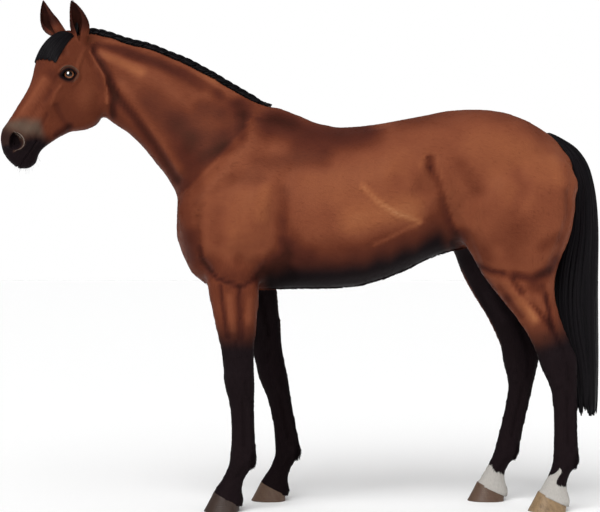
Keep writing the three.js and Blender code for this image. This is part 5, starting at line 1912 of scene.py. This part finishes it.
# %% Unroll the skin
SAUSAGES = {  # ends of the line, where the angle starts, corner and size of its cell, length
    "trunk": ((-0.30, 0, 1.24), (0.78, 0, 1.32), (0, 0, 1), (0.0, 0.52), (1.0, 0.48), 1.9),
    "neck": ((-0.40, 0, 1.42), (-0.80, -0.02, 1.80), (0.7, 0, 0.7), (0.0, 0.27), (0.6, 0.24),
             1.2),
    "head": (from_head((0, -0.07, 0)), from_head((0.5, -0.03, 0)), OUT, (0.0, 0.0),
             (0.6, 0.26), 0.95),
}
for number, leg in enumerate(LEGS):
    middle = middle_of("leg_" + leg)
    SAUSAGES[leg] = ((*middle[:2], 0.1), (*middle[:2], 0.9), (0, middle[1], 0),
                     (0.61 + 0.0975 * number, 0.0), (0.0965, 0.51), 1.3)


NECK_BACK, NECK_LOW = -0.40, 1.30  # the neck's part of the map is before and above these


def part_of(points):
    """The part that each point belongs to, as its place in the list of parts."""
    names = list(SAUSAGES)
    part = np.zeros(len(points), int)
    part[(points[:, 0] < NECK_BACK) & (points[:, 2] > NECK_LOW)] = names.index("neck")
    part[is_head(points) | (ear_place(points)[0] > 0)] = names.index("head")
    for leg in LEGS:
        top = 0.93 if "fore" in leg else 1.04
        part[on_leg(leg, points, top)] = names.index(leg)
    return part


def unrolled(points, part, guides=None):
    """Places on the flat map. A corner's angle stays close to that of its face's guide."""
    flat = np.zeros((len(points), 2))
    for number, (start, end, zero, corner, size, reach) in enumerate(SAUSAGES.values()):
        mine = part == number
        start, end, zero = (np.array(v, float) for v in (start, end, zero))
        axis = unit(end - start)
        zero = unit(zero - axis * (zero @ axis))
        beside = np.cross(axis, zero)

        def angle_of(places):
            off = places - start
            return np.arctan2(off @ beside, off @ zero)

        off = points[mine] - start
        way = off @ axis
        inside = np.clip(way, 0, np.linalg.norm(end - start))
        radius = np.linalg.norm(off - way[:, None] * axis, axis=1)
        over = np.arctan2(way - inside, np.maximum(radius, 1e-5)) * 0.2
        angle = angle_of(points[mine])
        if guides is not None:
            near = angle_of(guides[mine])
            angle = near + (angle - near + math.pi) % (2 * math.pi) - math.pi
        u = (angle / (2 * math.pi) * 0.96 + 0.5) * size[0] + corner[0]
        v = ((inside + over + 0.3) / reach * 0.96 + 0.02) * size[1] + corner[1]
        flat[mine] = np.stack([u, v], axis=1)
    return flat


def map_skin(mesh):
    corners = np.empty(len(mesh.loops), int)
    mesh.loops.foreach_get("vertex_index", corners)
    sizes = np.array([p.loop_total for p in mesh.polygons])
    face_of = np.repeat(np.arange(len(sizes)), sizes)
    points = points_of(mesh)[corners]
    middles = np.stack([np.bincount(face_of, points[:, k]) / sizes for k in range(3)], axis=1)
    flat = unrolled(points, part_of(middles)[face_of], middles[face_of])
    layer = mesh.uv_layers.new(name="OFBake")
    layer.uv.foreach_set("vector", flat.astype(np.float32).ravel())


map_skin(skin)
print("skin unrolled in", len(SAUSAGES), "parts")

# %% [markdown]
# ## Hair that breaks the form
#
# Most of the coat lies so flat that only its streaks and gloss show, and the material
# draws those. Tufts stand over it where the outline needs them: everywhere a little, and
# more on the forearms and gaskins, the lower legs, the backs of the legs, the fetlocks, the
# pasterns down to the coronets, the underside of the belly and chest, the face, the muzzle,
# the jaw and the ears. A tuft is a thin curved spike of a few faces. Geometry Nodes put one
# on each root, turned along the lie of the hair there.

# %% A tree that plants tufts
def build_tufts(add, given, share, ring):
    count = add(MATH, [given["Segments"], 1.0])
    spine = add("GeometryNodeCurvePrimitiveLine", {"Start": (0, 0, 0), "End": (0, 0, 1)})
    spine = add("GeometryNodeResampleCurve", {"Curve": spine, "Count": count})
    squared = add(MATH, [share, share], **TIMES)
    lean = add("ShaderNodeCombineXYZ", [add(MATH, [given["Bend"], squared], **TIMES)])
    spine = add("GeometryNodeSetPosition", {"Geometry": spine, "Offset": lean})
    spine = add(KEEP, {"Geometry": spine, "Name": "along", "Value": share})
    taper = add(MATH, [add(MATH, [share, 1.5], operation="POWER"), -0.94, 1.0], **FIT)
    tuft = add("GeometryNodeCurveToMesh",
               {"Curve": spine, "Profile Curve": ring, "Scale": taper, "Fill Caps": True})
    lie, outward, size = (add(TOLD, {"Name": mark}, data_type="FLOAT_VECTOR")
                          for mark in ("lie", "outward", "size"))
    turn = add("FunctionNodeAxesToRotation", {0: lie, 1: outward},
               primary_axis="Z", secondary_axis="X")
    planted = add("GeometryNodeInstanceOnPoints", {
        "Points": given["Roots"], "Instance": tuft, "Rotation": turn, "Scale": size})
    return planted, 0.5, 0.0, "root_place"


TUFT_TREE = grower("tufts on roots", {"Roots": "Geometry", "Sides": "Int", "Segments": "Int",
                                      "Bend": "Float", "Flatness": "Float"}, build_tufts)
PATCH = 0.003  # the size of a tuft's patch on the map
print("tree with", len(TUFT_TREE.interface.items_tree), "named sockets")


# %% Where hair grows, how long it is and how it lies
LIES = [  # where hair turns, from 0 to 1, and which way it lies there
    (lambda x, z: fade(1.2, 0.95, z), (0.12, 0, -1.0)),  # legs
    (lambda x, z: fade(-0.40, -0.50, x), (0.62, 0, -0.78)),  # neck
    (lambda x, z: fade(0.55, 0.7, x) * fade(1.45, 1.2, z), (0.35, 0, -0.9)),  # thigh
    (lambda x, z: fade(0.16, 0.0, np.hypot(x - 0.53, z - 1.24)), (-0.3, 0, 1.0)),  # flank
]


def lie_of_hair(points, normals):
    """The direction of the hair in the skin at each point."""
    lie = np.tile((1.0, 0.0, -0.34), (len(points), 1))
    for turned, way in LIES:
        share = turned(points[:, 0], points[:, 2])[:, None]
        lie = lie * (1 - share) + np.array(way) * share
    along, out, _ = on_head(points).T[..., None]
    cheek = fade(-0.02, -0.1, out)
    for_face = ALONG * (1 - 0.75 * cheek) - OUT * 0.9 * cheek
    for_face = np.where((along < EYE_ALONG - 0.02) & (cheek < 0.3), -ALONG * 0.8, for_face)
    lie = np.where(is_head(points)[:, None], for_face, lie)
    lie = np.where((ear_place(points)[0] > 0)[:, None], (0.05, 0, 1.0), lie)
    lie = lie - normals * np.sum(lie * normals, axis=1)[:, None]
    return lie / (np.linalg.norm(lie, axis=1)[:, None] + 1e-9)


def behind_leg(points, normals, low, high):
    """1 on the back of the legs between two heights."""
    z = points[:, 2]
    band = fade(low - 0.02, low + 0.01, z) * fade(high + 0.02, high - 0.01, z)
    return band * fade(0.35, 0.8, normals[:, 0])


def hair_of(points, normals):
    """Length and half width of a tuft, how far it stands up, and how thickly it grows."""
    y, z = points[:, 1], points[:, 2]
    along = on_head(points)[:, 0]
    face, ears = is_head(points).astype(float), ear_place(points)[0]
    underline = fade(0.06, 0.02, np.abs(y)) * fade(-0.4, -0.8, normals[:, 2]) * (z > 0.7)
    jaw = face * fade(-0.5, -0.85, normals @ OUT) * fade(0.44, 0.3, along)
    hair = np.tile([15.0, 0.85, 0.035, 1.0], (len(points), 1))  # on the body
    for share, *other in (
        (fade(0.95, 0.75, z), 12, 0.9, 0.07, 2.0),  # forearm and gaskin
        (fade(0.62, 0.5, z), 9, 0.7, 0.08, 4.5),  # below knee and hock
        (behind_leg(points, normals, 0.3, 0.46), 13, 0.8, 0.12, 7),
        (behind_leg(points, normals, 0.185, 0.235), 24, 0.8, 0.22, 16),  # fetlock
        (fade(0.17, 0.13, z), 8, 0.6, 0.08, 9),  # pastern
        (underline * fade(1.2, 1.1, z), 24, 1.1, 0.2, 5),
        (face, 7.5, 0.55, 0.06, 4.5),
        (face * fade(0.36, 0.46, along), 4.0, 0.4, 0.1, 7.0),  # muzzle
        (jaw, 13, 0.7, 0.16, 9),
        (fade(0.05, 0.2, ears), 7, 0.5, 0.1, 9),
    ):
        hair += (np.array(other) - hair) * share[:, None]
    return hair * (MM, MM, 1, 1)


# %% Plant tufts over the whole skin
def scattered(mesh, count, thickness):
    """Random places on the faces of a mesh, more where the thickness is larger."""
    mesh.calc_loop_triangles()
    flat = np.empty(len(mesh.loop_triangles) * 3, int)
    mesh.loop_triangles.foreach_get("vertices", flat)
    corners = flat.reshape(-1, 3)
    points = points_of(mesh)
    a, b, c = (points[corners[:, k]] for k in range(3))
    weight = np.linalg.norm(np.cross(b - a, c - a), axis=1) * thickness[corners].mean(axis=1)
    chosen = CHANCE.choice(len(corners), count, p=weight / weight.sum())
    s, t = np.sqrt(CHANCE.random(count)), CHANCE.random(count)
    shares = np.stack([1 - s, s * (1 - t), s * t], axis=1)
    return corners[chosen], shares


def blended(values, corners, shares):
    """Values at places on the faces, from those at their corners."""
    return np.einsum("ij,ij...->i...", shares, values[corners])


def read_mark(mesh, name):
    values = np.empty(len(mesh.vertices), dtype=np.float32)
    mesh.attributes[name].data.foreach_get("value", values)
    return values.astype(float)


def plant(name, roots, lie, outward, size, marks):
    """One piece of tufts from their roots."""
    holder = mesh_of("roots", roots, [])
    root_place = np.column_stack([unrolled(roots, part_of(roots)), np.zeros(len(roots))])
    store(holder, lie=lie, outward=outward, size=size, root_place=root_place, **marks)
    mesh = grown(holder, TUFT_TREE, Sides=3, Segments=2, Bend=-0.6, Flatness=0.3,
                 Patch=PATCH, Hair=COAT)
    return piece_of(name, mesh, COAT)


TUFTS = 66000
MOST_IN_A_PIECE = 13000
skin_points, skin_normals = points_of(skin), normals_of(skin)
hair = hair_of(skin_points, skin_normals)
corners, shares = scattered(skin, TUFTS, hair[:, 3])
long, wide, stand, _ = blended(hair, corners, shares).T
roots, outward = (blended(values, corners, shares) for values in (skin_points, skin_normals))
outward = unit(outward)
lie = lie_of_hair(roots, outward)
lie += np.cross(lie, outward) * CHANCE.normal(0, 0.14, TUFTS)[:, None]
lie += outward * (stand * CHANCE.uniform(0.5, 1.5, TUFTS))[:, None]
long = long * CHANCE.uniform(0.75, 1.25, TUFTS)
size = np.column_stack([wide, wide, long])
marks = {mark: blended(read_mark(skin, mark), corners, shares) for mark in MARKS}
marks["tone"] = marks["tone"] + CHANCE.normal(0.06, 0.05, TUFTS)
roots = roots - outward * (0.35 * MM)
owner = part_of(roots)
for number, part in enumerate(SAUSAGES):
    mine = np.flatnonzero(owner == number)
    groups = np.array_split(mine, math.ceil(len(mine) / MOST_IN_A_PIECE))
    for half, group in enumerate(groups):
        tufts = plant(f"coat_{part}_{half + 1}", roots[group], lie[group], outward[group],
                      size[group], {mark: values[group] for mark, values in marks.items()})
        print(tufts.name, triangles(tufts.data), "triangles")

# %% [markdown]
# ## Feelers and lashes
#
# Stiff feelers stand on the lips and chin, a few centimetres long and set singly. Lashes
# grow on the upper lid and shade the eye.

# %% Feelers and lashes
FEELERS, LASHES = 90, 54


def single_hairs(roots, towards, lengths, droop, half_width):
    """Stiff hairs that start in one direction, droop a little and end in a point."""
    share = np.linspace(0, 1, 7)
    towards = unit(towards)
    way = lengths[:, None] * share
    lines = roots[:, None] + towards[:, None] * way[..., None]
    lines = lines + np.asarray(droop) * (way * share)[..., None]
    facing = np.broadcast_to(np.cross(towards, (0.1, 0.2, 1.0))[:, None], lines.shape)
    return locks(lines, facing, half_width * (1 - 0.85 * share), 4, 1.0)


def feelers():
    along, out, _ = on_head(roots).T
    lips = np.flatnonzero(is_head(roots) & (along > 0.49) & (out < -0.02))
    chosen = CHANCE.choice(lips, FEELERS, replace=False)
    towards = outward[chosen] + 0.5 * ALONG + CHANCE.normal(0, 0.15, (len(chosen), 3))
    return single_hairs(roots[chosen], towards, CHANCE.uniform(9, 22, len(chosen)) * MM,
                        (0, 0, -0.3), 0.22 * MM)


def lashes(side, ball):
    slant, rise, look = eye_axes(side)
    t = np.linspace(-0.7, 0.8, LASHES)
    u = np.where(t > 0, LID_FRONT, LID_REAR) * t
    v = LID_HIGH * (1 - np.abs(t) ** 2.2) + 1.5 * MM
    over = ball + u[:, None] * slant + v[:, None] * rise + EYE_RADIUS * look
    rooted = np.array([SKIN_SURFACE.find_nearest(Vector(p))[0] for p in over])
    towards = look - 0.25 * rise + CHANCE.normal(0, 0.08, (len(t), 3))
    return single_hairs(rooted, towards, CHANCE.uniform(8, 13, len(t)) * MM, -0.35 * rise, 0.3 * MM)


piece_of("feelers", feelers(), HAIR)
for name, (side, ball) in EYES.items():
    piece_of("lashes_" + name, lashes(side, ball), HAIR)
print("feelers and lashes")

# %% [markdown]
# ## Floor and light
#
# The horse stands on a plain pale floor in a pale room. A wide, soft light stands to the
# left of the camera and a weaker one to its right, so that the muscles are rounded without
# hard shadows, as on an overcast day.

# %% Floor, room and lamps
floor_build = bmesh.new()
bmesh.ops.create_grid(floor_build, x_segments=1, y_segments=1, size=60.0)
floor_mesh = mesh_from(floor_build, "floor")
floor_mesh.materials.append(material_of(
    "Matt white studio paint",
    lambda add: {"Base Color": linear("#FBFBFB"), "Roughness": 0.85}))
floor = linked(bpy.data.objects.new("floor", floor_mesh))

room = bpy.data.worlds.new("room")
bpy.context.scene.world = room
room.use_nodes = True
sky = room.node_tree
sky.nodes.clear()
ray = add_node(sky, "ShaderNodeLightPath").outputs
lit = add_node(sky, "ShaderNodeMapRange", {0: ray["Is Glossy Ray"], 3: 0.34, 4: 0.16})
strength = add_node(sky, "ShaderNodeMapRange", {0: ray["Is Camera Ray"], 3: lit, 4: 1.0})
wall = add_node(sky, "ShaderNodeBackground", [(1.0, 1.0, 1.0, 1.0), strength])
add_node(sky, "ShaderNodeOutputWorld", [wall])


def lamp(name, kind, power, towards, place=(0, 0, 0), **settings):
    """A lamp at a place that shines one way."""
    data = bpy.data.lights.new(name, kind)
    data.energy = power
    for setting, value in settings.items():
        setattr(data, setting, value)
    holder = linked(bpy.data.objects.new(name, data))
    holder.location = place
    holder.rotation_euler = Vector(towards).to_track_quat("-Z", "Y").to_euler()
    return holder


# far lamps: a wide spread gives soft shadows, and their light is even over the floor
for name, towards, spread, power in (
    ("key", (0.3, 0.8, -0.95), 50, 2.5),
    ("fill", (-0.9, 0.5, -0.6), 70, 0.45),
    ("back", (-0.2, -0.8, -0.7), 70, 0.5),
):
    lamp(name, "SUN", power, towards, angle=math.radians(spread)).visible_glossy = False

# the suns would wash a grey haze over black hair, so one panel gives all the gloss
panel = lamp("gloss panel", "AREA", 200.0, (0.55, 4.1, -2.85), (-1.5, -4.2, 4.6),
             shape="RECTANGLE", size=2.0, size_y=2.6)
# a window's reflection gives an eye its life, so a lamp of its shape lights only the eyes
window = lamp("window", "AREA", 1900.0, (0.65, 4.35, -2.25), (-1.6, -4.5, 4.0),
              shape="RECTANGLE", size=3.0, size_y=4.0)
for glossy in (panel, window):
    glossy.visible_diffuse = glossy.visible_camera = False
eyes_only = bpy.data.collections.new("eyes only")
for side in ("left", "right"):
    eyes_only.objects.link(bpy.data.objects["eyeball_" + side])
window.light_linking.receiver_collection = eyes_only
bpy.context.scene.view_settings.view_transform = "Standard"
